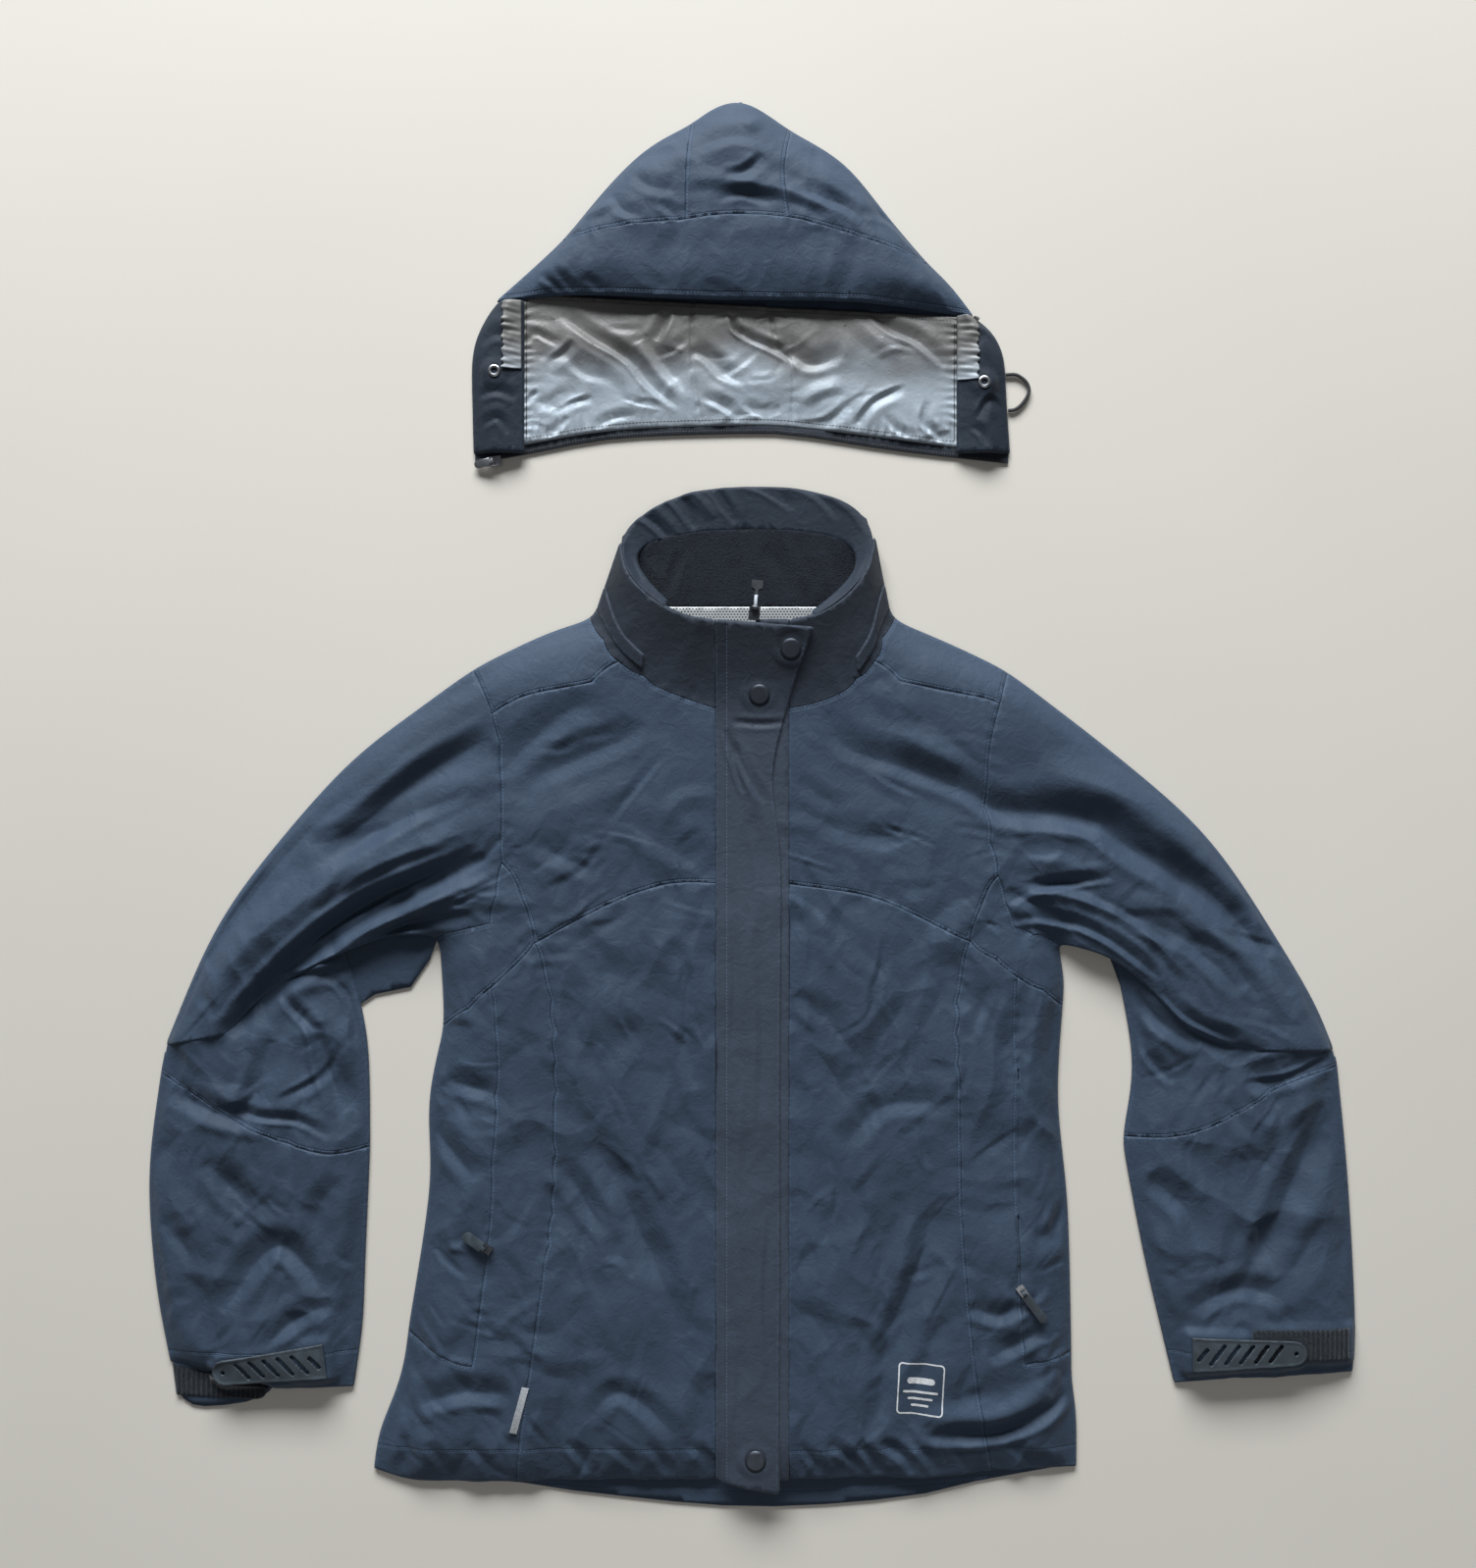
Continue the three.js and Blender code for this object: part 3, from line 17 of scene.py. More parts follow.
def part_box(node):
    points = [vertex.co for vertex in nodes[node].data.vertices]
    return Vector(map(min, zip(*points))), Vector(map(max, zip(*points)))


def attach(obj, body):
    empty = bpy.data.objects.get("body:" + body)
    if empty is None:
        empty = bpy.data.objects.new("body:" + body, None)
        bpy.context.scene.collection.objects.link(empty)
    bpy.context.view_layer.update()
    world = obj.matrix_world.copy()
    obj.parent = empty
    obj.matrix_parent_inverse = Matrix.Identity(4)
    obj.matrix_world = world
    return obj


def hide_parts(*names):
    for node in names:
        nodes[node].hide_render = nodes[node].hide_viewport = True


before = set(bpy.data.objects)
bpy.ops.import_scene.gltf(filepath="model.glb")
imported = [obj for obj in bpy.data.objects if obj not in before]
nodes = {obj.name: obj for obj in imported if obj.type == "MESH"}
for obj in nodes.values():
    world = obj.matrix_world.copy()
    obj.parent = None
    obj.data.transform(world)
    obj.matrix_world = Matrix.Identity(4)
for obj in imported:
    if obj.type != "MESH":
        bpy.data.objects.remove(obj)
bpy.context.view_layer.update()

MM = 0.001
scene = bpy.context.scene
SIDES = ("right", "left")

# %% [markdown]
# The camera looks straight down, because the jacket is seen from above. Its height follows from the lens
# and from how much of the floor it takes in.
# %% Camera
LENS_MM = 40
SENSOR_MM = 36
VIEW_LENGTH = 1.278
camera_data = bpy.data.cameras.new("camera")
camera_data.lens = LENS_MM
camera_data.sensor_width = SENSOR_MM
camera = bpy.data.objects.new("camera", camera_data)
camera.location = (-0.0115, 0.0165, VIEW_LENGTH * LENS_MM / SENSOR_MM)
scene.collection.objects.link(camera)
scene.camera = camera
print("camera height", round(camera.location.z, 3))

# %% [markdown]
# A finish is a small node tree. Real shell cloth is a tight nylon weave that crumples at the size of a
# fingertip and shines a little along each fold, so its finish has a slow change of tone, crumples and a
# fine grain as bumps, and a soft sheen. Patterns read the object's own coordinates, which all pieces share,
# or numbers stored on the points of a panel, such as the distance to its seam, so that a row of stitches
# can follow the seam.
# %% Helpers for finishes
class Finish:
    """A Principled material with a few short ways to add nodes."""

    def __init__(self, name, color, roughness, metallic=0.0, sheen=0.0, specular=0.5):
        self.material = bpy.data.materials.new(name)
        self.material.use_nodes = True
        self.tree = self.material.node_tree
        self.shader = self.tree.nodes["Principled BSDF"]
        self.shader.inputs["Roughness"].default_value = roughness
        self.shader.inputs["Metallic"].default_value = metallic
        self.shader.inputs["Sheen Weight"].default_value = sheen
        self.shader.inputs["Specular IOR Level"].default_value = specular
        self.shader.inputs["Base Color"].default_value = (*color, 1)
        self.place = self.add("ShaderNodeTexCoord").outputs["Object"]
        self.normal = None

    def add(self, kind, **settings):
        """A new node of this kind with these settings."""
        node = self.tree.nodes.new(kind)
        for key, value in settings.items():
            setattr(node, key, value)
        return node

    def feed(self, socket, value):
        """Gives a socket a plain value, or the output of another node."""
        if isinstance(value, bpy.types.NodeSocket):
            self.tree.links.new(value, socket)
        else:
            socket.default_value = value

    def math(self, operation, *values):
        node = self.add("ShaderNodeMath", operation=operation)
        for socket, value in zip(node.inputs, values):
            self.feed(socket, value)
        return node.outputs[0]

    def stored(self, name):
        """A number that is kept on the points of the piece."""
        return self.add("ShaderNodeAttribute", attribute_name=name).outputs["Fac"]

    def noise(self, scale, detail=2.0, distortion=0.0, stretch=None):
        node = self.add("ShaderNodeTexNoise")
        place = self.place
        if stretch:
            mapping = self.add("ShaderNodeMapping")
            mapping.inputs["Scale"].default_value = stretch
            self.feed(mapping.inputs["Vector"], place)
            place = mapping.outputs[0]
        self.feed(node.inputs["Vector"], place)
        node.inputs["Scale"].default_value = scale
        node.inputs["Detail"].default_value = detail
        node.inputs["Distortion"].default_value = distortion
        return node.outputs["Fac"]

    def between(self, value, low, high):
        """0 below low, 1 above high and a smooth step between."""
        node = self.add("ShaderNodeMapRange", interpolation_type="SMOOTHSTEP")
        for socket, amount in zip(node.inputs, (value, low, high, 0.0, 1.0)):
            self.feed(socket, amount)
        return node.outputs["Result"]

    def band(self, value, middle, half, soft):
        """1 where value is within half of the middle."""
        away = self.math("ABSOLUTE", self.math("SUBTRACT", value, middle))
        return self.math("SUBTRACT", 1.0, self.between(away, half, half + soft))

    def blend(self, share, first, second):
        node = self.add("ShaderNodeMix", data_type="RGBA")
        self.feed(node.inputs[0], share)
        self.feed(node.inputs[6], first)
        self.feed(node.inputs[7], second)
        return node.outputs[2]

    def bump(self, height, strength, distance):
        """One more layer of relief, on top of the layers before it."""
        node = self.add("ShaderNodeBump")
        node.inputs["Strength"].default_value = strength
        node.inputs["Distance"].default_value = distance
        self.feed(node.inputs["Height"], height)
        if self.normal:
            self.feed(node.inputs["Normal"], self.normal)
        self.normal = node.outputs[0]

    def done(self, color=None, roughness=None):
        if color:
            self.feed(self.shader.inputs["Base Color"], color)
        if roughness:
            self.feed(self.shader.inputs["Roughness"], roughness)
        if self.normal:
            self.feed(self.shader.inputs["Normal"], self.normal)
        return self.material


def tint(color, factor):
    return tuple(min(1.0, c * factor) for c in color[:3]) + (1,)

# %% [markdown]
# The hood's drawcord is one thin elastic cord: it leaves the eyelet, bends round in the air gap beside the
# facing and goes back in at the facing's edge. A cord is best made as a curve with a bevel, because the
# curve then keeps its real length and thickness. The route's points are listed and smoothed.
# %% Hood drawcord
CORD_WIDTH = 3.0
CORD_ROUTE = [(205, 349), (214, 349), (222, 343), (224, 335), (219, 326), (213, 321), (207, 320)]


def smooth_path(points, steps=6):
    """Points on a Catmull-Rom curve through the given ones."""
    p = np.array([points[0], *points, points[-1]], float)
    made = []
    for i in range(1, len(p) - 2):
        for t in np.arange(steps) / steps:
            a, b, c, d = p[i - 1 : i + 3]
            square = (2 * a - 5 * b + 4 * c - d) * t**2
            cube = (3 * b - a - 3 * c + d) * t**3
            made.append((2 * b + (c - a) * t + square + cube) / 2)
    return np.array([*made, p[-1]])


def cord_finish():
    finish = Finish("elastic_cord", (0.012, 0.013, 0.016), 0.75, sheen=0.3)
    braid = finish.noise(900, 1, stretch=(1, 1, 0.5))
    finish.bump(braid, 0.6, 0.0004)
    return finish.done(finish.blend(braid, (0.009, 0.010, 0.012, 1), (0.022, 0.024, 0.028, 1)))


cord_low, cord_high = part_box("hood_cord")
route = smooth_path(CORD_ROUTE, 4)
half = CORD_WIDTH / 2
plan_low = route.min(0) - half
plan_high = route.max(0) + half
shift = ((cord_low + cord_high) / 2 / MM).xy - Vector((plan_low + plan_high) / 2)
cord_z = (cord_low.z + cord_high.z) / 2
cord_curve = bpy.data.curves.new("drawcord", "CURVE")
cord_curve.dimensions = "3D"
cord_curve.bevel_depth = CORD_WIDTH / 2 * MM
cord_curve.bevel_resolution = 3
cord_curve.use_fill_caps = True
spline = cord_curve.splines.new("POLY")
spline.points.add(len(route) - 1)
for point, (x, y) in zip(spline.points, route):
    point.co = ((x + shift.x) * MM, (y + shift.y) * MM, cord_z, 1)
cord_curve.materials.append(cord_finish())
cord = bpy.data.objects.new("hood_drawcord", cord_curve)
scene.collection.objects.link(cord)
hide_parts("hood_cord")
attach(cord, "jacket")

# %% [markdown]
# The shell is a tight nylon weave, and the placket a duller one. Each finish has a slow change of tone,
# crumples, a fine grain, a row of stitches beside the seams and worn edges. The placket's cloth is painted
# darker towards the collar, as painted shade on the collar front, which faces away from the light.
# %% Woven cloth finish
STITCH_MM = 2.8
SEAM_ROW = 1.9
HEM_ROW = 24.0


def woven(name, color, painted_shade_span=None):
    """Nylon cloth of this colour. The painted shade span gives two distances along the jacket between which
    painted shade darkens it.
    """
    finish = Finish(name, color, 0.66, sheen=0.08, specular=0.25)
    finish.shader.inputs["Sheen Roughness"].default_value = 0.45
    tone = finish.noise(11, 3, 0.4)
    crumples = finish.noise(95, 4, 1.2)
    fine = finish.noise(260, 3, 0.6)
    grain = finish.noise(1500, 2)
    base = finish.blend(finish.between(tone, 0.3, 0.7), tint(color, 0.9), tint(color, 1.12))
    base = finish.blend(finish.between(grain, 0.35, 0.65), tint(color, 0.84), base)
    if painted_shade_span:
        split = finish.add("ShaderNodeSeparateXYZ")
        finish.feed(split.inputs[0], finish.place)
        # Painted shade: between the two distances the colour is painted down to 0.4 of itself, towards the
        # collar.
        base = finish.blend(finish.between(split.outputs["Y"], *painted_shade_span), base, tint(color, 0.4))
    finish.bump(crumples, 0.55, 0.0011)
    finish.bump(fine, 0.35, 0.0004)
    finish.bump(grain, 0.25, 0.00008)
    rows = []
    hollows = []
    for distance, run, middle in (("seam", "run", SEAM_ROW), ("hem", "hem_run", HEM_ROW)):
        away = finish.stored(distance)
        step = finish.math("FRACT", finish.math("DIVIDE", finish.stored(run), STITCH_MM))
        stitch = finish.band(step, 0.5, 0.3, 0.08)
        rows.append(finish.math("MULTIPLY", finish.band(away, middle, 0.3, 0.35), stitch))
        hollows.append(finish.band(away, middle, 0.6, 1.2))
    thread = finish.math("MAXIMUM", *rows)
    hollow = finish.math("MAXIMUM", *hollows)
    rubbed = finish.band(finish.stored("edge"), 0.4, 0.5, 0.9)
    worn = finish.math("MULTIPLY", rubbed, finish.between(fine, 0.35, 0.6))
    base = finish.blend(finish.math("MULTIPLY", worn, 0.2), base, tint(color, 2.2))
    base = finish.blend(finish.math("MULTIPLY", thread, 0.55), base, tint(color, 2.1))
    finish.bump(finish.math("SUBTRACT", finish.math("MULTIPLY", thread, 0.7), hollow), 0.7, 0.0004)
    return finish.done(base)


SHELL = (0.034, 0.054, 0.088)
PLACKET = (0.040, 0.053, 0.078)
shell_finish = woven("shell_cloth_woven", SHELL)
# Painted shade: the shell cloth at 0.4 of its colour, for the facings inside the collar and the hood, which
# lie in shade.
painted_shade_finish = woven("facing_cloth_painted_shade", tint(SHELL, 0.4)[:3])
placket_finish = woven("placket_cloth_woven_painted_shade", PLACKET, painted_shade_span=(0.0, 0.17))
print("finishes", shell_finish.name, placket_finish.name)

# %% [markdown]
# Laid cloth reads as one surface with seams in it, because folds run across the seams. So the upper faces
# of all the panels that meet are welded into one net and rounded with a Subdivision modifier. The folds are
# laid over the whole net, and only then is it cut back into panels. Modelling each panel alone would leave
# steps at the seams.
# %% One net from neighbouring panels
LEVELS = 4
WELD = 0.0006
UP_FACING = 0.08


def net_of(names):
    """The upper faces of the named solids, welded at their seams. Each face has its panel's number."""
    bm = bmesh.new()
    for number, name in enumerate(names):
        first = len(bm.faces)
        bm.from_mesh(nodes[name].data)
        bm.faces.ensure_lookup_table()
        for face in bm.faces[first:]:
            face.material_index = number
    bmesh.ops.remove_doubles(bm, verts=bm.verts, dist=1e-6)
    bm.normal_update()
    under = [face for face in bm.faces if face.normal.z < UP_FACING]
    bmesh.ops.delete(bm, geom=under, context="FACES")
    bmesh.ops.remove_doubles(bm, verts=bm.verts, dist=WELD)
    bmesh.ops.join_triangles(
        bm, faces=bm.faces, cmp_materials=True, angle_face_threshold=1.4, angle_shape_threshold=1.4
    )
    return bm


def rounded(bm, panels):
    """The net after Subdivision, as a new mesh."""
    mesh = bpy.data.meshes.new("net")
    bm.to_mesh(mesh)
    bm.free()
    for _ in range(panels):
        mesh.materials.append(shell_finish)
    thing = bpy.data.objects.new("net", mesh)
    scene.collection.objects.link(thing)
    modifier = thing.modifiers.new("round", "SUBSURF")
    modifier.levels = LEVELS
    modifier.render_levels = LEVELS
    modifier.boundary_smooth = "PRESERVE_CORNERS"
    made = bpy.data.meshes.new_from_object(thing.evaluated_get(bpy.context.evaluated_depsgraph_get()))
    bpy.data.objects.remove(thing)
    return made


def read_points(mesh):
    """The mesh's points in mm."""
    flat = np.empty(len(mesh.vertices) * 3)
    mesh.vertices.foreach_get("co", flat)
    return flat.reshape(-1, 3) / MM

# %% [markdown]
# A fold is a smooth path with a width and a depth: a trough when the depth is negative, with a raised lip
# on each side, and a ridge when it is positive. The lean makes one side steeper. Each main fold is listed
# one by one. Short creases between them are scattered with a fixed seed, along directions that a few anchors
# set for each area.
# %% The height of folds at any point
def along_path(xy, path):
    """Each point's distance from the path, its share of the way along, and the side that it is on."""
    reach = np.linalg.norm(np.diff(path, axis=0), axis=1)
    start = np.concatenate([[0], np.cumsum(reach)])
    best = np.full(len(xy), np.inf)
    share = np.zeros(len(xy))
    side = np.ones(len(xy))
    for i, (a, b) in enumerate(zip(path, path[1:])):
        way = b - a
        off = xy - a
        t = np.clip(off @ way / max(way @ way, 1e-9), 0, 1)
        rest = off - t[:, None] * way
        away = np.hypot(rest[:, 0], rest[:, 1])
        near = away < best
        best[near] = away[near]
        share[near] = (start[i] + t[near] * reach[i]) / start[-1]
        side[near] = np.sign(way[0] * rest[near, 1] - way[1] * rest[near, 0])
    return best, share, side


def deeper(folds, factor):
    return [(points, width, depth * factor, lean) for points, width, depth, lean in folds]


def fold_height(xy, folds):
    height = np.zeros(len(xy))
    for points, width, depth, lean in folds:
        path = smooth_path(points)
        reach = 3.5 * width
        near = np.all((xy > path.min(0) - reach) & (xy < path.max(0) + reach), axis=1)
        if not near.any():
            continue
        away, share, side = along_path(xy[near], path)
        s = away / (width * (1 + lean * side))
        fade = np.sin(np.pi * np.clip(share, 0.0, 1.0)) ** 0.6
        height[near] += depth * fade * (np.exp(-1.15 * s**1.5) - 0.42 * np.exp(-1.8 * (s - 1.75) ** 2))
    return height

# %% Scattered creases
FLOW = [
    (-300, -30, 30), (-400, -120, 38), (-400, -300, 100), (-400, -430, 60), (-150, 60, 32), (-150, -40, 22),
    (-100, -200, 112), (-100, -400, 117), (-230, -250, 128), (-240, -420, 135), (80, 40, 160),
    (150, -30, 165), (300, -20, 150), (400, -120, 132), (400, -300, 78), (430, -430, 110), (90, -200, 80),
    (90, -420, 77), (220, -250, 62), (230, -420, 50), (-60, 430, 8), (60, 430, 172), (-10, 520, 90),
    (0, 350, 15),
]


def scattered(region, count, seed, length=(22, 75), width=(2.6, 6.5), depth=(0.35, 1.1)):
    """Short creases at random points of a region, each roughly along the flow there."""
    pick = random.Random(seed)
    x0, y0, x1, y1 = region
    made = []
    for _ in range(count):
        x = pick.uniform(x0, x1)
        y = pick.uniform(y0, y1)
        turn = sum(np.exp(2j * math.radians(a)) / (math.hypot(x - u, y - v) + 20) ** 3 for u, v, a in FLOW)
        angle = float(np.angle(turn)) / 2 + pick.gauss(0, 0.42)
        half = pick.uniform(*length) / 2
        bend = pick.gauss(0, 0.16) * half
        ex, ey = math.cos(angle), math.sin(angle)
        middle = (x - bend * ey, y + bend * ex)
        path = [(x - half * ex, y - half * ey), middle, (x + half * ex, y + half * ey)]
        size = pick.uniform(*width)
        sign = pick.choice((-1, -1, 1))
        made.append((path, size, sign * pick.uniform(*depth) * size / 5, pick.uniform(-0.4, 0.4)))
    return made

# %% Waves and crumples
def waves(xy, length, seed):
    """Soft noise between about -1 and 1 whose humps are about that long."""
    return np.array([noise.noise((x / length, y / length, seed)) for x, y in xy]) * 1.6


def facets(xy, length, seed):
    """Crumples: nearly flat facets that meet in crisp ridges and valleys, longer down the cloth."""
    shift = np.stack([waves(xy, 1.5 * length, seed + 1), waves(xy, 1.5 * length, seed + 2)], axis=1)
    place = (xy + 0.4 * length * shift) / (length, 1.4 * length)
    ridge = np.array([noise.noise((x, y, seed)) for x, y in place])
    valley = np.array([noise.noise((x, y, seed + 5)) for x, y in place])
    return 1.6 * (0.7 * np.abs(valley) - np.abs(ridge)) + 0.1


def smooth_step(value, low, high):
    t = np.clip((value - low) / (high - low), 0, 1)
    return t * t * (3 - 2 * t)

# %% [markdown]
# Where two panels meet, the seam sinks in and its stitches gather the cloth into small puckers. Both depend
# on how far a point is from the seam and how far along it, so the seams are first walked as chains of
# edges. The same numbers are kept on the points, where the finish draws its stitches from them.
# %% Chains of edges and the distance to them
FAR = 60.0


def to_piece_mesh(bm, name):
    mesh = bpy.data.meshes.new(name)
    bm.to_mesh(mesh)
    bm.free()
    return mesh


def chains(edges):
    """Runs of joined edges, each as the list of its points in order."""
    spare = set(edges)
    meet = {}
    for edge in edges:
        for v in edge.verts:
            meet.setdefault(v, []).append(edge)
    made = []
    for first in sorted(meet, key=lambda v: (len(meet[v]) == 2, v.index)):
        for edge in meet[first]:
            if edge not in spare:
                continue
            line = [first]
            while edge:
                spare.discard(edge)
                line.append(edge.other_vert(line[-1]))
                onward = [e for e in meet[line[-1]] if e in spare]
                edge = onward[0] if onward and len(meet[line[-1]]) == 2 else None
            made.append(line)
    return made


def to_lines(points, edges, groups=None):
    """Each point's distance to the nearest line of edges, how far along it is, and that line's group."""
    starts, ends, runs, marks = [], [], [], []
    for line in chains(edges):
        run = 0.0
        mark = groups(line) if groups else 0
        for a, b in zip(line, line[1:]):
            starts.append(a.co / MM)
            ends.append(b.co / MM)
            runs.append(run)
            marks.append(mark)
            run += (b.co - a.co).length / MM
    if not starts:
        return np.full(len(points), FAR), np.zeros(len(points)), np.full(len(points), -1)
    starts = np.array(starts)
    ends = np.array(ends)
    tree = kdtree.KDTree(len(starts))
    for i, middle in enumerate((starts + ends) / 2):
        tree.insert(middle, i)
    tree.balance()
    near = np.array([tree.find(p)[1] for p in points])
    way = (ends - starts)[near]
    off = points - starts[near]
    t = np.clip((off * way).sum(1) / np.maximum((way**2).sum(1), 1e-9), 0, 1)
    away = np.linalg.norm(off - t[:, None] * way, axis=1)
    run = np.array(runs)[near] + t * np.linalg.norm(way, axis=1)
    return away, run, np.array(marks)[near]

# %% Rings of cloth past an edge
def outward(edges):
    """The level direction that leads away from the cloth, for each point of its free edges."""
    ways = {}
    for edge in edges:
        a, b = edge.verts
        along = b.co - a.co
        way = Vector((along.y, -along.x, 0)).normalized()
        if way.dot(a.co - edge.link_faces[0].calc_center_median()) < 0:
            way.negate()
        for v in (a, b):
            ways[v] = ways.get(v, Vector()) + way
    return {v: way.normalized() for v, way in ways.items()}


def grow(bm, edges, steps, ease=None):
    """Rings of cloth past these edges. Each step has a distance out and a distance down, in mm."""
    way = outward(edges)
    start = {v: v.co.copy() for v in way}
    for out, down in steps:
        made = bmesh.ops.extrude_edge_only(bm, edges=edges)["geom"]
        edges = [g for g in made if isinstance(g, bmesh.types.BMEdge)]
        fresh = {g for g in made if isinstance(g, bmesh.types.BMVert)}
        edges = [e for e in edges if e.verts[0] in fresh and e.verts[1] in fresh]
        for v in fresh:
            base = next(e.other_vert(v) for e in v.link_edges if e.other_vert(v) not in fresh)
            way[v] = way[base]
            start[v] = start[base]
            drop = down(start[v].z / MM) if callable(down) else down
            share = ease(start[v] / MM) if ease else 1.0
            v.co = start[v] + (way[v] * out - Vector((0, 0, drop))) * share * MM
    return edges

# %% [markdown]
# The hard parts are rubber or metal. Their finishes come first, because the cuff tabs are made before the
# cloth that they press on.
# %% Hard finishes
def plain(name, color, roughness, metallic=0.0, grain=0.25):
    """Rubber or metal: a fine grain, a little unevenness in its gloss and lighter worn patches."""
    finish = Finish(name, color, roughness, metallic)
    speck = finish.noise(900, 2)
    patch = finish.noise(90, 3, 0.5)
    finish.bump(speck, grain, 0.0001)
    base = finish.blend(finish.between(patch, 0.42, 0.72), color + (1,), tint(color, 1.5))
    rough = finish.math("ADD", roughness - 0.08, finish.math("MULTIPLY", patch, 0.16))
    return finish.done(base, rough)


def pull_finish():
    """The main pull: a bright wire link with a rubber tip."""
    finish = Finish("pull_link_and_tip", (0.34, 0.35, 0.37), 0.4, 1.0, specular=0.12)
    split = finish.add("ShaderNodeSeparateXYZ")
    finish.feed(split.inputs[0], finish.place)
    tip = finish.between(split.outputs["Y"], PULL_TIP - 0.0004, PULL_TIP)
    metal = finish.math("SUBTRACT", 0.95, finish.math("MULTIPLY", tip, 0.95))
    finish.feed(finish.shader.inputs["Metallic"], metal)
    finish.bump(finish.noise(900, 2), 0.2, 0.0001)
    rough = finish.math("ADD", 0.4, finish.math("MULTIPLY", tip, 0.3))
    return finish.done(finish.blend(tip, (0.10, 0.105, 0.115, 1), (0.020, 0.022, 0.025, 1)), rough)


PULL_TIP_LENGTH = 0.013
PULL_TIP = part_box("main_pull")[1].y - PULL_TIP_LENGTH
pull_look = pull_finish()
rubber_look = plain("tab_rubber", (0.030, 0.040, 0.050), 0.55, grain=0.5)
cap_look = plain("snap_cap_metal", (0.035, 0.042, 0.055), 0.4, 0.55)
gun_look = plain("gunmetal_plate", (0.07, 0.075, 0.085), 0.42, 0.9, grain=0.1)
steel_look = plain("steel_plate", (0.34, 0.35, 0.37), 0.36, 1.0, grain=0.1)

# %% [markdown]
# A tab is moulded in one even bend. A smooth surface is fitted to the upper corners of its solid, and a
# fine even net, with the slots left open, is laid on it. The rim is raised a little, and the underside is
# kept so that the cloth below can be brought up to it.
# %% Sizes of the cuff tabs
TAB_THICK = 2.0
TAB_RIM = 2.4
TAB_RISE = 0.4
TAB_NET = 0.9
TAB_HALF = 40
ROW_STEP = 0.87
ON_GROUND = 0.15
tab_underside = {}

# %% An even net over flat ground
def fine_net(flat, spacing):
    """A net of points this far apart, in mm, over the same ground as this flat one."""
    rim = [edge for edge in flat.edges if edge.is_boundary]
    spots, sides = [], []
    for edge in rim:
        start, end = (v.co.xy / MM for v in edge.verts)
        steps = max(1, round((end - start).length / spacing))
        sides += [(len(spots) + i, len(spots) + i + 1) for i in range(steps)]
        spots += [start.lerp(end, i / steps) for i in range(steps + 1)]
    low = np.min(spots, axis=0)
    high = np.max(spots, axis=0)
    x, y = np.meshgrid(np.arange(low[0], high[0], spacing), np.arange(low[1], high[1], spacing * ROW_STEP))
    x[::2] += spacing / 2
    inside = np.stack([x.ravel(), y.ravel(), np.full(x.size, rim[0].verts[0].co.z / MM)], axis=1)
    away, _, _ = to_lines(inside, rim)
    spots += [Vector(spot[:2]) for spot in inside[away > spacing * 0.4]]
    spots, _, faces, *_ = delaunay_2d_cdt(spots, sides, [], 1, 1e-4)
    ground = BVHTree.FromBMesh(flat)
    level = max(v.co.z for v in flat.verts)
    flat.free()
    net = bmesh.new()
    corners = [net.verts.new((*spot * MM, level)) for spot in spots]
    for face in faces:
        middle = sum((corners[i].co for i in face), Vector()) / len(face)
        if ground.find_nearest(middle)[3] < ON_GROUND * MM:
            net.faces.new([corners[i] for i in face])
    bmesh.ops.delete(net, geom=[v for v in net.verts if not v.link_faces], context="VERTS")
    return net


def face_up(bm):
    """Turns the faces so that they look up."""
    bmesh.ops.recalc_face_normals(bm, faces=bm.faces)
    if sum(face.normal.z for face in bm.faces) < 0:
        bmesh.ops.reverse_faces(bm, faces=bm.faces)

# %% Cuff tabs
def bent_tab(name):
    """A tab as one smooth bend through the upper corners of its solid, with its slots and raised rim."""
    bm = bmesh.new()
    bm.from_mesh(nodes[name].data)
    bmesh.ops.remove_doubles(bm, verts=bm.verts, dist=1e-6)
    under = [face for face in bm.faces if face.normal.z < 0.1]
    bmesh.ops.delete(bm, geom=under, context="FACES")
    corners = np.array([v.co for v in bm.verts]) / MM
    middle = corners[:, :2].mean(0)
    powers = [(i, j) for i in range(5) for j in range(3) if i + j < 5]

    def terms(points):
        spots = (points[:, :2] - middle) / TAB_HALF
        return np.stack([np.prod(spots**p, axis=1) for p in powers], axis=1)

    bend = np.linalg.lstsq(terms(corners), corners[:, 2], rcond=None)[0]
    for v in bm.verts:
        v.co.z = 0
    bm = fine_net(bm, TAB_NET)
    face_up(bm)
    lines = chains([edge for edge in bm.edges if edge.is_boundary])
    outer = max(lines, key=len)
    rim = [bm.edges.get(pair) for pair in zip(outer, outer[1:])]
    points = np.array([v.co for v in bm.verts]) / MM
    away, _, _ = to_lines(points, rim)
    flat = terms(points) @ bend
    for v, z in zip(bm.verts, flat - TAB_THICK):
        v.co.z = z * MM
    tab_underside[name] = BVHTree.FromBMesh(bm)
    for v, z, off in zip(bm.verts, flat, away):
        v.co.z = (z + TAB_RISE * float(smooth_step(TAB_RIM - off, 0.0, 1.0))) * MM
    piece = bpy.data.objects.new(f"{name}_part", to_piece_mesh(bm, name))
    scene.collection.objects.link(piece)
    piece.data.materials.append(rubber_look)
    piece.data.shade_smooth()
    modifier = piece.modifiers.new("wall", "SOLIDIFY")
    modifier.thickness = TAB_THICK * MM
    modifier.offset = -1
    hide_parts(name)
    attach(piece, "jacket")


for side in SIDES:
    bent_tab(f"cuff_tab_{side}")
print("tab undersides", sorted(tab_underside))

# %% [markdown]
# Hard pieces press on the cloth or stand on it, so the cloth is brought to just below each one. A snap or a
# tab pulls the cloth both up and down to itself, while a zip pull that only lies there may press it down
# but not lift it.
# %% Cloth under hard pieces
PRESS_GAP = 0.3
PRESS_REACH = 9.0


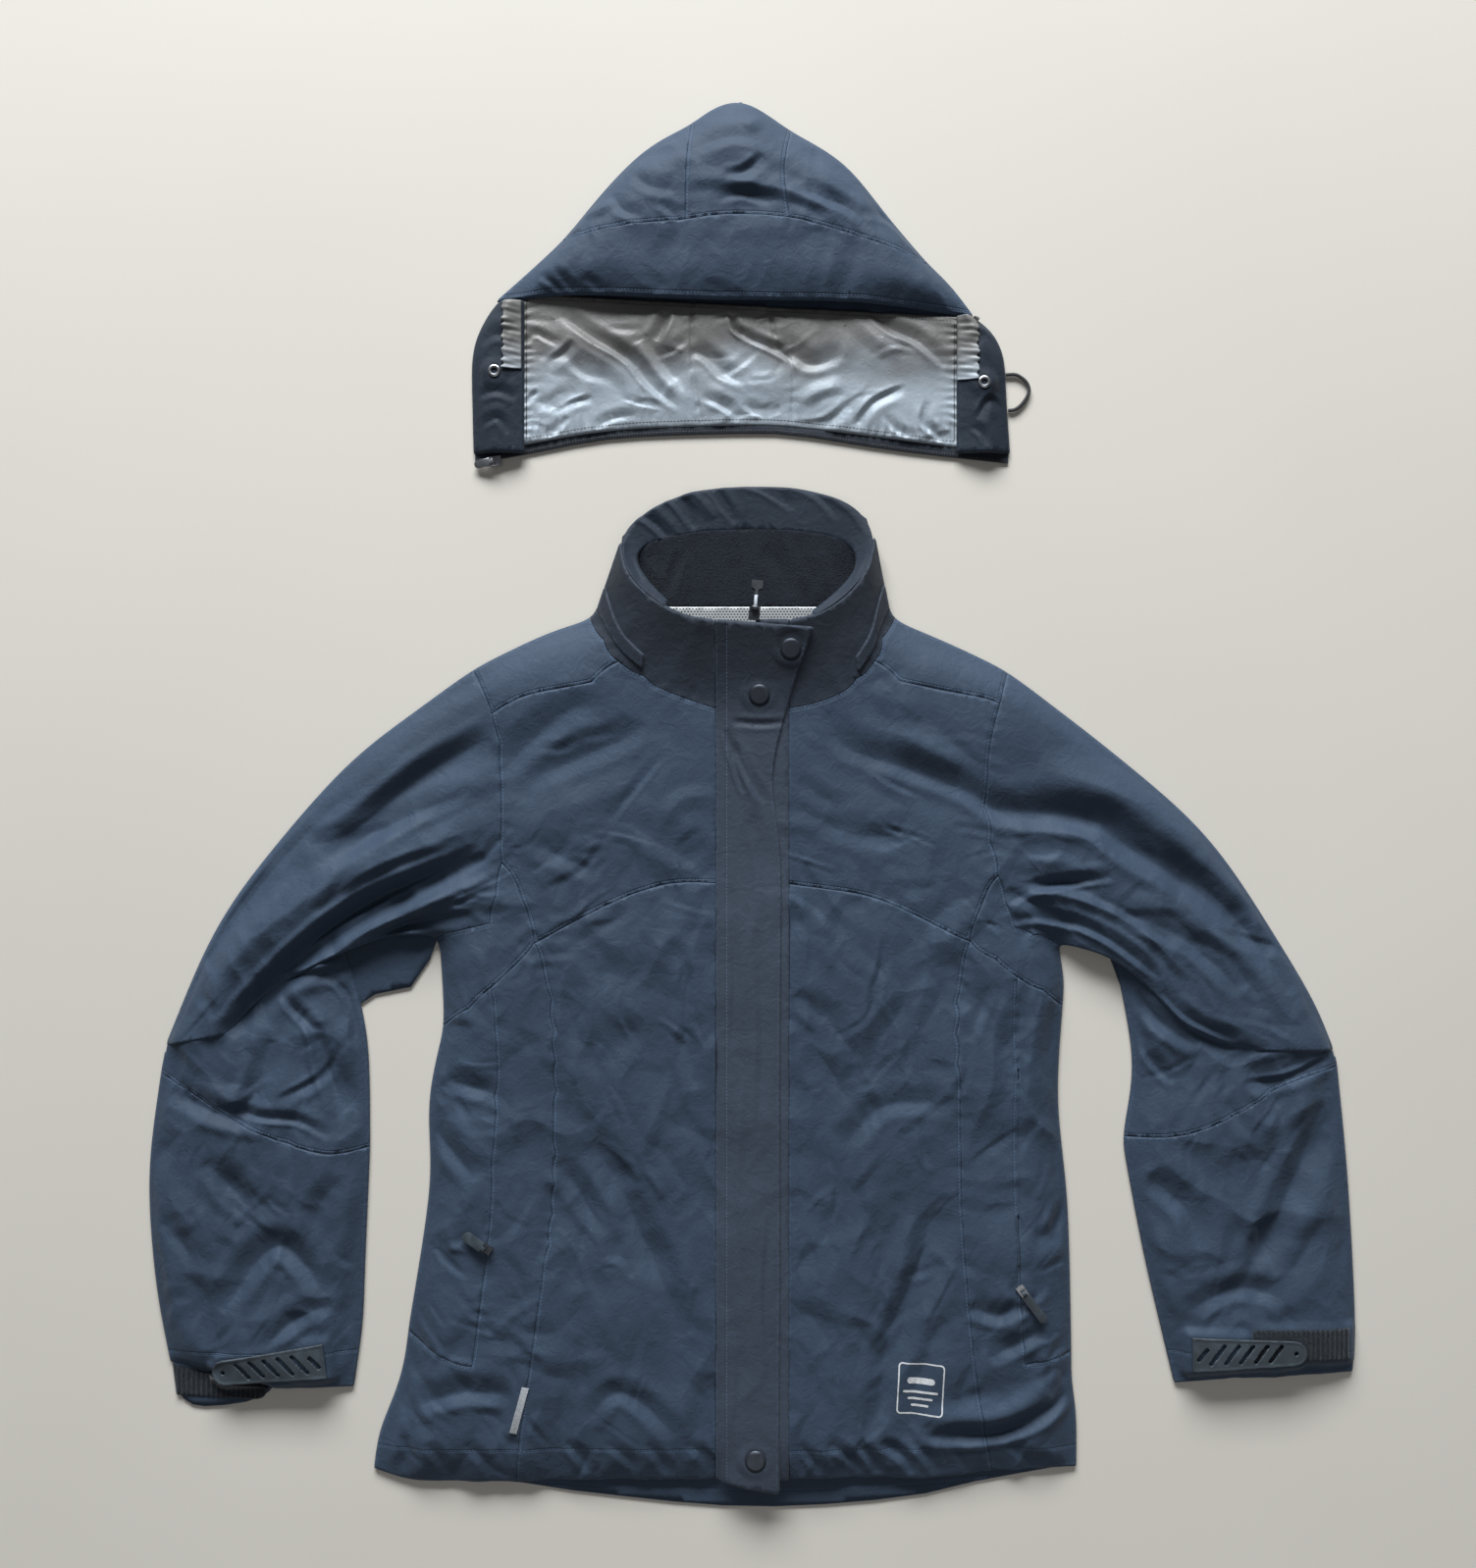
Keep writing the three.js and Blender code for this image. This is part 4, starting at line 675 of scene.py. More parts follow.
def sit(points, names, only_down=False):
    """Brings the cloth's points to just below these hard pieces, easing off round them."""
    for name in names:
        bm = bmesh.new()
        bm.from_mesh(nodes[name].data)
        upper = [face for face in bm.faces if face.normal.z > -0.3]
        bmesh.ops.delete(bm, geom=upper, context="FACES")
        tree = tab_underside.get(name) or BVHTree.FromBMesh(bm)
        bm.free()
        low, high = (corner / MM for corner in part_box(name))
        xy = points[:, :2]
        close = (xy > np.array(low.xy) - PRESS_REACH) & (xy < np.array(high.xy) + PRESS_REACH)
        for i in np.flatnonzero(close.all(1)):
            x, y, z = points[i]
            spot = tree.find_nearest(Vector((x, y, low.z)) * MM)[0] / MM
            share = 1 - smooth_step(math.hypot(spot.x - x, spot.y - y), 0.0, PRESS_REACH)
            change = spot.z - PRESS_GAP - z
            points[i, 2] += share * (min(change, 0.0) if only_down else change)

# %% [markdown]
# A panel is cut back out of the net by its number. It is drawn in a hair at its seams, so that a thin dark
# line shows there. Its free edges turn over: a real edge is folded and stitched, so it is as thick as two
# layers and round. Then a Solidify modifier gives the cloth its thickness.
# %% Panels cut from the net
CLOTH_WALL = 0.9
SEAM_INSET = 0.12
SOFT_ROWS = ("edge", "seam", "run", "hem", "hem_run")
ROLL_STEPS = ((0.7, 0.25), (1.4, 0.7), (1.5, 1.0))
TUCK_STEPS = ((3.0, 0.4), (8.0, 1.2))
NARROWEST = 0.0105


def turn_down(height):
    """How far an edge at this height turns over, so that it doesn't reach the floor."""
    return min(max(height - CLOTH_WALL, 0.8), 3.0)


def rolled_edge(bm, edges):
    grow(bm, edges, [(out, lambda z, share=share: share * turn_down(z)) for out, share in ROLL_STEPS])

# %% The size that a piece is cut to
def cut_size(mesh):
    """Width and length of the smallest rectangle round a piece of cloth in plan, and its own area, in m.

    A narrow curved strip counts as a straight tape, as long as half its rim.
    """
    points = read_points(mesh)[:, :2] * MM
    best = None
    for angle in np.radians(np.arange(0, 90, 3)):
        turned = points @ np.array([[math.cos(angle), -math.sin(angle)], [math.sin(angle), math.cos(angle)]])
        size = np.ptp(turned, axis=0)
        if best is None or size.prod() < best.prod():
            best = size
    area = sum(face.area for face in mesh.polygons)
    if area < 0.35 * best.prod():
        bm = bmesh.new()
        bm.from_mesh(mesh)
        length = sum(edge.calc_length() for edge in bm.edges if edge.is_boundary) / 2
        bm.free()
        best = np.array([max(1.05 * area / length, NARROWEST), length])
    grown = max(1.0, math.sqrt(area / best.prod()))
    return sorted(float(v) * grown for v in best), float(area)

# %% A sheet of cloth
def cloth_piece(node, mesh, finish, wall=CLOTH_WALL):
    """A thin shell that stands for one cloth solid. The size that it is cut to is worked out, but nothing
    uses it.
    """
    mesh.materials.clear()
    mesh.materials.append(finish)
    mesh.shade_smooth()
    piece = bpy.data.objects.new(f"{node}_cloth", mesh)
    scene.collection.objects.link(piece)
    size, area = cut_size(mesh)
    modifier = piece.modifiers.new("wall", "SOLIDIFY")
    modifier.thickness = wall * MM
    modifier.offset = -1
    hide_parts(node)
    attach(piece, "jacket")


def store(bm, rows):
    """Keeps rows of numbers on the points, for the finishes."""
    for name, values in rows.items():
        layer = bm.verts.layers.float.new(name)
        for v, value in zip(bm.verts, values):
            v[layer] = value

# %% One panel out of the net
def cut_out(bm, number, rim_kind, tuck_ease=None):
    """A copy of one panel of the net, with its edges finished."""
    panel = bm.copy()
    rest = [face for face in panel.faces if face.material_index != number]
    bmesh.ops.delete(panel, geom=rest, context="FACES")
    for face in panel.faces:
        face.material_index = 0
    was_rim = panel.edges.layers.int["rim"]
    free = []
    tucked = []
    sewn = []
    seams = []
    for edge in panel.edges:
        if not edge.is_boundary:
            continue
        middle = (edge.verts[0].co + edge.verts[1].co) / 2 / MM
        kind = rim_kind(middle, number) if edge[was_rim] else "seam"
        {"free": free, "tucked": tucked, "sewn": sewn, "seam": seams}[kind].append(edge)
    for lines, inset in ((sewn, -SEAM_INSET), (seams, SEAM_INSET)):
        for v, way in outward(lines).items():
            v.co -= way * inset * MM
    if free:
        rolled_edge(panel, free)
    if tucked:
        grow(panel, tucked, TUCK_STEPS, tuck_ease)
    return panel

# %% [markdown]
# The folds of this jacket come from how it was laid: long ones cross each sleeve from the armhole to the
# elbow, where the arm bends, short ones fan out from the chest seam and the pockets, and the hem band
# buckles between its stitches. Each row below has a path, a width, a depth and a lean.
# %% Folds of the upper sleeves
SLEEVE_FOLDS = [
    ([(-211, 54), (-263, 26), (-326, -24), (-360, -33)], 11, -4.2, 0.25),
    ([(-218, -39), (-263, -58), (-316, -82), (-358, -114), (-395, -150), (-425, -185)], 9, -6.0, 0.3),
    ([(-205, -14), (-347, -70), (-442, -150)], 15, 3.2, 0.1),
    ([(-326, 10), (-399, -66), (-452, -146)], 9, -2.6, 0.2),
    ([(-240, -84), (-300, -100), (-352, -128)], 7, -2.6, 0.2),
    ([(-226, 12), (-290, -16), (-340, -48)], 7, -1.8, -0.2),
    ([(186, -3), (270, -11), (303, -34), (354, -66), (395, -104), (417, -126)], 11, -4.2, 0.2),
    ([(209, -64), (249, -62), (281, -72)], 7, -2.6, 0.2),
    ([(205, -68), (223, -78), (262, -96)], 6, -2.2, 0.0),
    ([(230, 30), (300, 6), (360, -34)], 13, 2.2, 0.0),
    ([(300, -86), (352, -112), (396, -152)], 8, -2.6, 0.2),
    ([(330, -40), (392, -92), (440, -160)], 8, -2.2, 0.0),
    ([(-215, -41), (-264, -67), (-315, -95), (-356, -120), (-387, -146)], 4.5, -2.4, 0.3),
    ([(-222, -88), (-284, -98), (-305, -112), (-330, -132), (-376, -142), (-400, -162)], 4.5, -2.6, 0.3),
    ([(-212, -60), (-262, -82), (-312, -104), (-352, -132)], 4.0, 1.8, 0.0),
    ([(-230, -30), (-290, -52), (-350, -88)], 5.0, -1.4, 0.2),
    ([(206, -80), (230, -68), (290, -58)], 4.0, -2.2, 0.3),
    ([(207, -92), (240, -92), (280, -104), (330, -140)], 4.5, -2.4, 0.3),
    ([(212, -70), (260, -76), (310, -100), (352, -140)], 4.0, 1.8, 0.0),
]
print("sleeve folds", len(SLEEVE_FOLDS))

# %% Folds of the chest and the fronts
CHEST_FOLDS = [
    ([(-208, 23), (-150, 74), (-122, 77)], 10, -2.8, 0.2),
    ([(-183, 19), (-106, 52), (-86, 66)], 9, -2.4, 0.2),
    ([(-106, -11), (-46, -48)], 9, -2.2, 0.2),
    ([(-179, -31), (-122, -56)], 8, -2.0, 0.2),
    ([(60, 74), (76, 46), (122, 30), (172, 11), (213, -11), (298, -15)], 9, -3.0, 0.3),
    ([(101, 99), (134, 68)], 10, 2.2, 0.0),
    ([(111, 60), (168, 30)], 10, 2.4, 0.0),
    ([(40, -4), (76, -22), (120, -30)], 9, -1.8, 0.2),
    ([(-196, -20), (-150, -2), (-92, 20)], 14, 1.8, 0.0),
]
LOWER_FOLDS = [
    ([(-134, -263), (-101, -323), (-54, -429)], 10, -2.6, 0.2),
    ([(-158, -289), (-118, -346)], 8, -2.2, 0.2),
    ([(-54, -180), (-46, -229)], 8, -1.8, 0.2),
    ([(-250, -223), (-203, -234)], 7, -2.4, 0.2),
    ([(-258, -263), (-223, -303)], 8, -2.6, 0.2),
    ([(-272, -486), (-232, -474), (-194, -478)], 8, -2.8, 0.3),
    ([(-272, -498), (-286, -546)], 7, -2.0, 0.2),
    ([(-134, -498), (-106, -474), (-61, -509)], 7, -2.2, 0.2),
    ([(35, -152), (58, -174)], 8, -1.8, 0.2),
    ([(73, -278), (107, -243), (162, -243)], 8, -2.0, 0.2),
    ([(144, -312), (138, -363), (110, -432), (102, -498)], 10, -2.8, 0.25),
    ([(135, -509), (195, -509), (235, -492), (260, -474)], 7, -5.0, 0.35),
    ([(140, -496), (200, -494), (240, -474)], 12, 2.6, 0.0),
    ([(258, -320), (242, -346), (227, -349)], 7, -2.4, 0.2),
    ([(176, -404), (196, -412), (216, -402)], 7, -3.0, 0.3),
    ([(190, -446), (212, -436), (240, -420)], 7, -2.6, 0.3),
    ([(-90, -200), (-78, -270), (-60, -330)], 12, 1.6, 0.0),
]
HEM_FOLDS = [
    ([(x, -514), (x + 9 + lean, -528), (x + 15 + lean, -542)], 4.5, depth, 0.2)
    for x, lean, depth in (
        (-262, 0, -1.6), (-232, 5, -1.2), (-150, 3, -1.7), (-118, 8, -1.1), (-84, 0, -1.5), (-52, 5, -1.2),
        (38, 2, -1.5), (62, 9, -1.9), (84, 3, -2.3), (104, 10, -2.6), (130, 4, -1.4), (160, 0, -1.0),
        (206, 5, -1.2),
    )
]
print("front folds", len(CHEST_FOLDS) + len(LOWER_FOLDS) + len(HEM_FOLDS))

# %% Folds of the elbows and forearms
FOREARM_FOLDS = [
    ([(-441, -288), (-404, -332)], 9, -2.4, 0.2),
    ([(-428, -410), (-384, -357), (-345, -396)], 9, -3.0, 0.25),
    ([(-400, -446), (-372, -418), (-340, -404)], 7, -2.4, 0.2),
    ([(-350, -176), (-344, -214), (-330, -250)], 8, -3.4, 0.3),
    ([(-390, -190), (-402, -232), (-420, -262)], 9, -2.8, 0.2),
    ([(-470, -232), (-430, -250), (-390, -256)], 8, -2.4, 0.2),
    ([(-466, -330), (-452, -390), (-440, -440)], 12, -2.0, 0.1),
    ([(-330, -300), (-352, -330), (-346, -370)], 9, -2.0, 0.1),
    ([(473, -214), (439, -305), (386, -410)], 12, -3.0, 0.2),
    ([(312, -150), (330, -176), (362, -196)], 7, -3.0, 0.2),
    ([(400, -210), (424, -240), (430, -280)], 9, -2.4, 0.2),
    ([(318, -300), (352, -330), (360, -372)], 9, -2.4, 0.2),
    ([(462, -330), (440, -372), (402, -404)], 10, -2.2, 0.1),
    ([(352, -410), (392, -392), (430, -400)], 7, -1.8, 0.2),
    ([(-382, -150), (-374, -163), (-356, -182), (-351, -204)], 4.0, -2.0, 0.3),
    ([(-346, -136), (-330, -152), (-323, -172), (-322, -196)], 4.0, -2.0, 0.3),
    ([(-338, -206), (-352, -222), (-382, -238)], 3.6, -1.5, 0.3),
    ([(-433, -243), (-400, -252), (-366, -256), (-341, -269)], 3.6, -1.6, 0.3),
    ([(330, -150), (352, -172), (392, -190)], 4.0, -2.0, 0.3),
    ([(312, -170), (318, -200), (340, -226)], 4.0, -1.8, 0.3),
    ([(470, -204), (430, -222), (396, -226)], 4.0, -1.6, 0.3),
]
print("forearm folds", len(FOREARM_FOLDS))

# %% [markdown]
# Between the main folds there are many short creases. Each row has a region, a number of creases and a
# seed. The first rows are soft and broad, and the rest are short and sharp.
# %% All the folds of the body and sleeves
FOLDS = deeper([*SLEEVE_FOLDS, *FOREARM_FOLDS], 1.7) + deeper([*LOWER_FOLDS, *HEM_FOLDS], 1.4) + CHEST_FOLDS
for region, count, seed in (
    ((-440, -180, -210, 20), 12, 11), ((210, -150, 440, 20), 12, 12), ((-200, -60, -30, 100), 8, 13),
    ((30, -60, 200, 110), 8, 14), ((-200, -500, -35, -90), 20, 15), ((35, -500, 200, -90), 20, 16),
    ((-300, -500, -215, -150), 16, 17), ((215, -500, 262, -150), 16, 18), ((-485, -460, -315, -200), 20, 19),
    ((300, -460, 485, -150), 20, 20),
):
    FOLDS += deeper(scattered(region, count, seed), 1.5)
for region, count, seed in (
    ((-290, -140, -200, -20), 14, 51), ((185, -110, 270, -10), 14, 52), ((-200, -100, -40, -20), 8, 53),
    ((40, -100, 200, -20), 8, 54), ((-200, -500, -40, -100), 24, 55), ((40, -500, 200, -100), 24, 56),
    ((-300, -500, -205, -150), 18, 57), ((205, -500, 262, -150), 14, 58), ((-485, -460, -315, -150), 26, 59),
    ((300, -460, 485, -150), 26, 60), ((-290, -550, 262, -500), 24, 61),
):
    FOLDS += scattered(region, count, seed, length=(18, 60), width=(1.6, 3.4), depth=(0.6, 1.7))
print("folds", len(FOLDS))

# %% [markdown]
# The body's panels and the upper sleeves of one side make one net, and the lower sleeve another, tucked
# under the sleeve's rolled edge. The pocket's seam is open above its zip slider, so there the front edge
# stands up as a lip and the side panel drops under it. Each crumple below has a height, a length and a
# seed.
# %% Sizes for the body and sleeves
NET_SHARE = 0.36
GROOVE = 0.12
GROOVE_WIDTH = 2.2
GATHER = 0.32
GATHER_PITCH = 17
GATHER_REACH = 7
CRUMPLES = ((3.4, 46, 7.0), (1.1, 21, 9.0))
LOW_EASE = (3.4, 9.0)
LEAST_HEIGHT = 2.7
BODY_PANELS = ("yoke", "chest", "underarm", "front", "pocket_panel", "side", "upper_sleeve", "collar")
PLACKET_SEAM_X = {"right": -29.5, "left": 29.5}
POCKET_END = {"right": -356.0, "left": -392.0}
POCKET_TOP = -146.0
POCKET_X = 214
POCKET_SPAN = (198, 228)
LIP_RISE = 0.5
LIP_DROP = 1.4
FRONT_HEM_Y = -545.0
CUFF_HEM_Y = -468.0
COLLARS = ("collar_right", "collar_left")
HEMMED = ("front", "pocket_panel", "side")
TUCK = {
    "right": [
        (-476, -195), (-425, -185), (-413, -176), (-408, -148), (-378, -128), (-350, -112), (-336, -108),
    ],
    "left": [(471, -199), (402, -198), (386, -197), (364, -172), (338, -145), (310, -122), (292, -108)],
}

# %% Gathers and the height of laid cloth
def ripple(points, away, run):
    """Small gathers across a seam, which die away from it."""
    phase = run / GATHER_PITCH * 2 * math.pi + 5 * waves(points[:, :2], 45, 5.0)
    return GATHER * np.sin(phase) * np.exp(-away / GATHER_REACH)


def laid_height(points, folds, broad, crisp):
    """Folds, a slow wave, and crumples in two sizes, which fade out over the smooth shoulders."""
    xy = points[:, :2]
    calm = 1 - 0.7 * smooth_step(xy[:, 1], -90, 40) * (xy[:, 1] < 280)
    crumples = sum(height * facets(xy, length, seed) for height, length, seed in CRUMPLES)
    return fold_height(xy, folds) + broad * waves(xy, 90, 3.0) + crisp * calm * crumples

# %% [markdown]
# A net that is fine enough for its sharpest crease has far more points than its flat parts need. So it is
# thinned once it has its shape, except at its seams and rims, where neighbours have to keep matching.
# %% Thinning, and the marks for seams
def across_seam(edge):
    """Whether an edge has one panel on one side and another on the other."""
    return len(edge.link_faces) == 2 and len({face.material_index for face in edge.link_faces}) == 2


def thinned(mesh):
    """The net with fewer points where it is flat, but with every point of its seams and rims."""
    bm = bmesh.new()
    bm.from_mesh(mesh)
    lines = [edge for edge in bm.edges if len(edge.link_faces) != 2 or across_seam(edge)]
    kept = {v.index for edge in lines for v in edge.verts}
    bm.free()
    thing = bpy.data.objects.new("net", mesh)
    scene.collection.objects.link(thing)
    spare = thing.vertex_groups.new(name="spare")
    spare.add([i for i in range(len(mesh.vertices)) if i not in kept], 1.0, "REPLACE")
    modifier = thing.modifiers.new("thin", "DECIMATE")
    modifier.ratio = NET_SHARE
    modifier.vertex_group = spare.name
    made = bpy.data.meshes.new_from_object(thing.evaluated_get(bpy.context.evaluated_depsgraph_get()))
    bpy.data.objects.remove(thing)
    bpy.data.meshes.remove(mesh)
    return made


def marked(mesh):
    """The net as a bmesh, with its points in mm, its rims and each point's place beside its seams."""
    bm = bmesh.new()
    bm.from_mesh(mesh)
    rim_layer = bm.edges.layers.int.new("rim")
    points = read_points(mesh)
    seams = [edge for edge in bm.edges if across_seam(edge)]
    rims = [edge for edge in bm.edges if edge.is_boundary]
    for edge in rims:
        edge[rim_layer] = 1

    def owner(line):
        return min(face.material_index for face in bm.edges.get((line[0], line[1])).link_faces)

    return bm, points, rims, to_lines(points, seams, owner)

# %% The crumpled net
def crumple_net(
    names, folds=FOLDS, broad=1.7, crisp=1.0, seats=(), pulls=(), shape=None,
    least=LEAST_HEIGHT, ease_from=LOW_EASE,
):
    """The rounded net of these solids with folds, seams and gathers, and with the numbers for stitches."""
    mesh = rounded(net_of(names), len(names))
    bm, points, _, (away, run, _) = marked(mesh)
    bm.free()
    ease = smooth_step(points[:, 2], *ease_from)
    points[:, 2] += laid_height(points, folds, broad, crisp) * ease
    points[:, 2] -= GROOVE * np.exp(-((away / GROOVE_WIDTH) ** 2))
    points[:, 2] += ripple(points, away, run) * ease
    if shape:
        points[:, 2] += shape(points, away)
    points[:, 2] = np.maximum(points[:, 2], least)
    sit(points, seats)
    sit(points, pulls, only_down=True)
    mesh.vertices.foreach_set("co", (points * MM).ravel())
    mesh = thinned(mesh)
    bm, points, rims, (away, run, owners) = marked(mesh)
    rim_away, _, _ = to_lines(points, rims)
    store(bm, {
        "edge": np.minimum(away, rim_away), "seam": away, "run": run,
        "hem": np.full(len(points), FAR), "hem_run": points[:, 0], "owner": owners,
    })
    bpy.data.meshes.remove(mesh)
    return bm

# %% Stitches, and the panels as sheets
def own_rows(bm, number, hem=None):
    """Leaves a seam's stitches on one of its two panels, and sets the distance to the hem."""
    seam = bm.verts.layers.float["seam"]
    owner = bm.verts.layers.float["owner"]
    hems = bm.verts.layers.float["hem"]
    for v in bm.verts:
        if round(v[owner]) != number:
            v[seam] = FAR
        if hem is not None:
            v[hems] = hem(v.co.x / MM, v.co.y / MM)


def near_line(x, y, line, reach):
    """Whether a point is within reach of a line."""
    path = np.array(line, float)
    away, _, _ = along_path(np.array([[x, y]], float), path)
    return away[0] < reach


def panels_of(
    bm, names, rim_kind, hems=None, finish=shell_finish, slot="shell_cloth", tuck_ease=None
):
    """Cuts every panel out of a net and makes a sheet of each."""
    for number, name in enumerate(names):
        panel = cut_out(bm, number, rim_kind, tuck_ease)
        own_rows(panel, number, (hems or {}).get(name))
        look, its_slot = (placket_finish, "placket_cloth") if name in COLLARS else (finish, slot)
        cloth_piece(name, to_piece_mesh(panel, name), look)
    bm.free()


def front_hem(x, y):
    return y - FRONT_HEM_Y if y < -480 else FAR


def cuff_hem(x, y):
    return y - CUFF_HEM_Y if y < -395 else FAR

# %% Both halves of the body


for side in SIDES:
    names = [f"{panel}_{side}" for panel in BODY_PANELS]

    def pocket_lip(points, away, side=side):
        x = np.abs(points[:, 0])
        open_part = smooth_step(points[:, 1], POCKET_END[side], POCKET_END[side] + 20)
        open_part *= 1 - smooth_step(points[:, 1], POCKET_TOP - 30, POCKET_TOP)
        open_part *= np.exp(-((away / 3.5) ** 2)) * (x > POCKET_SPAN[0]) * (x < POCKET_SPAN[1])
        return open_part * np.where(x > POCKET_X, -LIP_DROP, LIP_RISE)

    def body_rim(middle, number, side=side):
        return "sewn" if abs(middle.x - PLACKET_SEAM_X[side]) < 2.5 else "free"

    def sleeve_rim(middle, number, side=side):
        return "tucked" if number == 0 and near_line(middle.x, middle.y, TUCK[side], 7) else "free"

    def tuck_ease(spot, side=side):
        ends = (Vector(TUCK[side][0]), Vector(TUCK[side][-1]))
        return float(smooth_step(min((spot.xy - end).length for end in ends), 6.0, 45.0))

    hard = [f"pocket_{side}_slider"] + (["seam_label"] if side == "right" else [])
    net = crumple_net(names, seats=hard, pulls=[f"pocket_{side}_pull"], shape=pocket_lip)
    hems = {f"{panel}_{side}": front_hem for panel in HEMMED}
    panels_of(net, names, body_rim, hems)
    names = [f"elbow_{side}", f"forearm_{side}"]
    net = crumple_net(names, seats=[f"cuff_tab_{side}", f"cuff_loop_band_{side}"])
    cuffs = {f"forearm_{side}": cuff_hem}
    panels_of(net, names, sleeve_rim, cuffs, tuck_ease=tuck_ease)

# %% [markdown]
# The storm flap is sewn to one front and lies over the zip guard, which is sewn to the other. The guard
# takes the same folds as the fronts under it. The flap has its own instead: a crease at the neck, two that
# hang from it and more down its length.
# %% Storm flap and zip guard
FLAP_ROW = 9.0
FLAP_FOLDS = [
    ([(-17, 67), (5, 65), (28, 66)], 2.6, -1.6, 0.0),
    ([(-21, 60), (-15, 36), (-7, 9)], 3.2, -2.2, 0.3),
    ([(-15, 50), (-4, 24), (9, 2)], 3.6, -1.8, 0.2),
    ([(-12, 40), (-2, 12), (2, -12)], 6.0, 1.4, 0.0),
    ([(-18, -60), (-14, -130), (-16, -200)], 3.0, -1.0, 0.2),
    ([(2, -100), (8, -180), (4, -270)], 4.0, -1.0, 0.2),
    ([(-8, -220), (-12, -300), (-6, -370)], 3.5, 1.0, 0.2),
    ([(14, -330), (10, -400), (16, -460)], 3.0, -0.9, 0.2),
    ([(-20, -400), (-10, -450), (-14, -510)], 4.0, -1.0, 0.2),
    ([(-2, -20), (4, -70), (0, -110)], 4.0, 0.9, 0.2),
]


def flap_rim(middle, number):
    return "sewn" if middle.x < -28 else "free"


def guard_rim(middle, number):
    return "sewn" if middle.x > 28 else "free"


def flap_rows(x, y):
    return x - PLACKET_SEAM_X["right"] + HEM_ROW - FLAP_ROW


def along_length(bm):
    """Stitches whose rows run down the placket count along the length."""
    for name in ("run", "hem_run"):
        layer = bm.verts.layers.float[name]
        for v in bm.verts:
            v[layer] = v.co.y / MM
    return bm


snaps = ["snap_collar", "snap_neck", "snap_hem"]
net = along_length(crumple_net(["storm_flap"], folds=FLAP_FOLDS, crisp=0.35, seats=snaps))
rows = {"storm_flap": flap_rows}
panels_of(net, ["storm_flap"], flap_rim, rows, placket_finish, "placket_cloth")
net = along_length(crumple_net(["zip_guard"], crisp=0.35, seats=["main_slider"]))
panels_of(net, ["zip_guard"], guard_rim, None, placket_finish, "placket_cloth")
print("placket made")

# %% [markdown]
# Inside the open collar there are three cloths: a facing of shell cloth round the rim, brushed fleece below
# it and a silvery mesh at the bottom. Fleece is short curled fibre, so it has no shine but a soft pale
# edge, which sheen gives, and a rough bump. Mesh is a net of round holes, drawn here as dark dots on a
# regular grid.
# %% Collar finishes
def fleece_finish():
    finish = Finish("fleece_nap", (0.007, 0.010, 0.016), 0.95, sheen=0.15, specular=0.05)
    finish.shader.inputs["Sheen Roughness"].default_value = 0.6
    tufts = finish.noise(420, 3, 1.5)
    nap = finish.noise(60, 2, 0.6)
    share = finish.between(tufts, 0.35, 0.65)
    base = finish.blend(share, (0.003, 0.005, 0.009, 1), (0.010, 0.014, 0.023, 1))
    base = finish.blend(finish.between(nap, 0.3, 0.7), base, (0.009, 0.013, 0.021, 1))
    finish.bump(tufts, 1.0, 0.0012)
    return finish.done(base)


HOLE_PITCH = 2.6
ROW_SHARE = 0.866


def mesh_finish():
    finish = Finish("dotted_mesh", (0.45, 0.47, 0.48), 0.45, metallic=0.3)
    split = finish.add("ShaderNodeSeparateXYZ")
    finish.feed(split.inputs[0], finish.place)
    row = finish.math("DIVIDE", split.outputs["Y"], HOLE_PITCH * ROW_SHARE * MM)
    shift = finish.math("MULTIPLY", finish.math("MODULO", finish.math("FLOOR", row), 2.0), 0.5)
    column = finish.math("ADD", finish.math("DIVIDE", split.outputs["X"], HOLE_PITCH * MM), shift)
    across = finish.math("SUBTRACT", finish.math("FRACT", column), 0.5)
    down = finish.math("MULTIPLY", finish.math("SUBTRACT", finish.math("FRACT", row), 0.5), ROW_SHARE)
    squares = [finish.math("POWER", offset, 2.0) for offset in (across, down)]
    away = finish.math("SQRT", finish.math("ADD", *squares))
    hole = finish.math("SUBTRACT", 1.0, finish.between(away, 0.2, 0.28))
    finish.bump(hole, 0.8, -0.0005)
    return finish.done(finish.blend(hole, (0.46, 0.48, 0.49, 1), (0.03, 0.03, 0.035, 1)))

# %% [markdown]
# The facing creases where the collar bends round, and the fleece has a few soft rolls. Below them the mesh
# is smooth. The covers of the hood's zip lie on the outside of the collar.
# %% Folds inside the collar
FACING_FOLDS = [
    ([(-82, 258), (-62, 246), (-46, 224)], 4.0, -3.0, 0.3),
    ([(-98, 238), (-82, 230), (-64, 212)], 4.0, -2.4, 0.3),
    ([(-66, 262), (-48, 252), (-30, 232)], 4.5, 2.2, 0.0),
    ([(-52, 266), (-32, 254), (-14, 228)], 3.5, -2.2, 0.3),
    ([(-16, 264), (10, 256), (34, 240)], 4.0, -1.6, 0.3),
    ([(24, 264), (52, 252), (70, 232)], 4.0, -1.4, 0.3),
    ([(62, 256), (84, 240), (96, 220)], 4.5, -1.8, 0.3),
    ([(-104, 210), (-96, 194), (-88, 178)], 3.5, -1.4, 0.2),
    ([(100, 208), (92, 192), (84, 178)], 3.5, -1.4, 0.2),
]
FLEECE_FOLDS = [
    ([(-84, 200), (-78, 184), (-72, 164)], 5.0, 1.8, 0.3),
    ([(-60, 206), (-64, 190), (-72, 170)], 4.0, -1.4, 0.2),
    ([(10, 210), (24, 190), (30, 168)], 8.0, -1.2, 0.0),
    ([(54, 206), (60, 186), (58, 166)], 6.0, 1.2, 0.0),
]

# %% Inside of the collar and the zip covers
def all_free(middle, number):
    return "free"


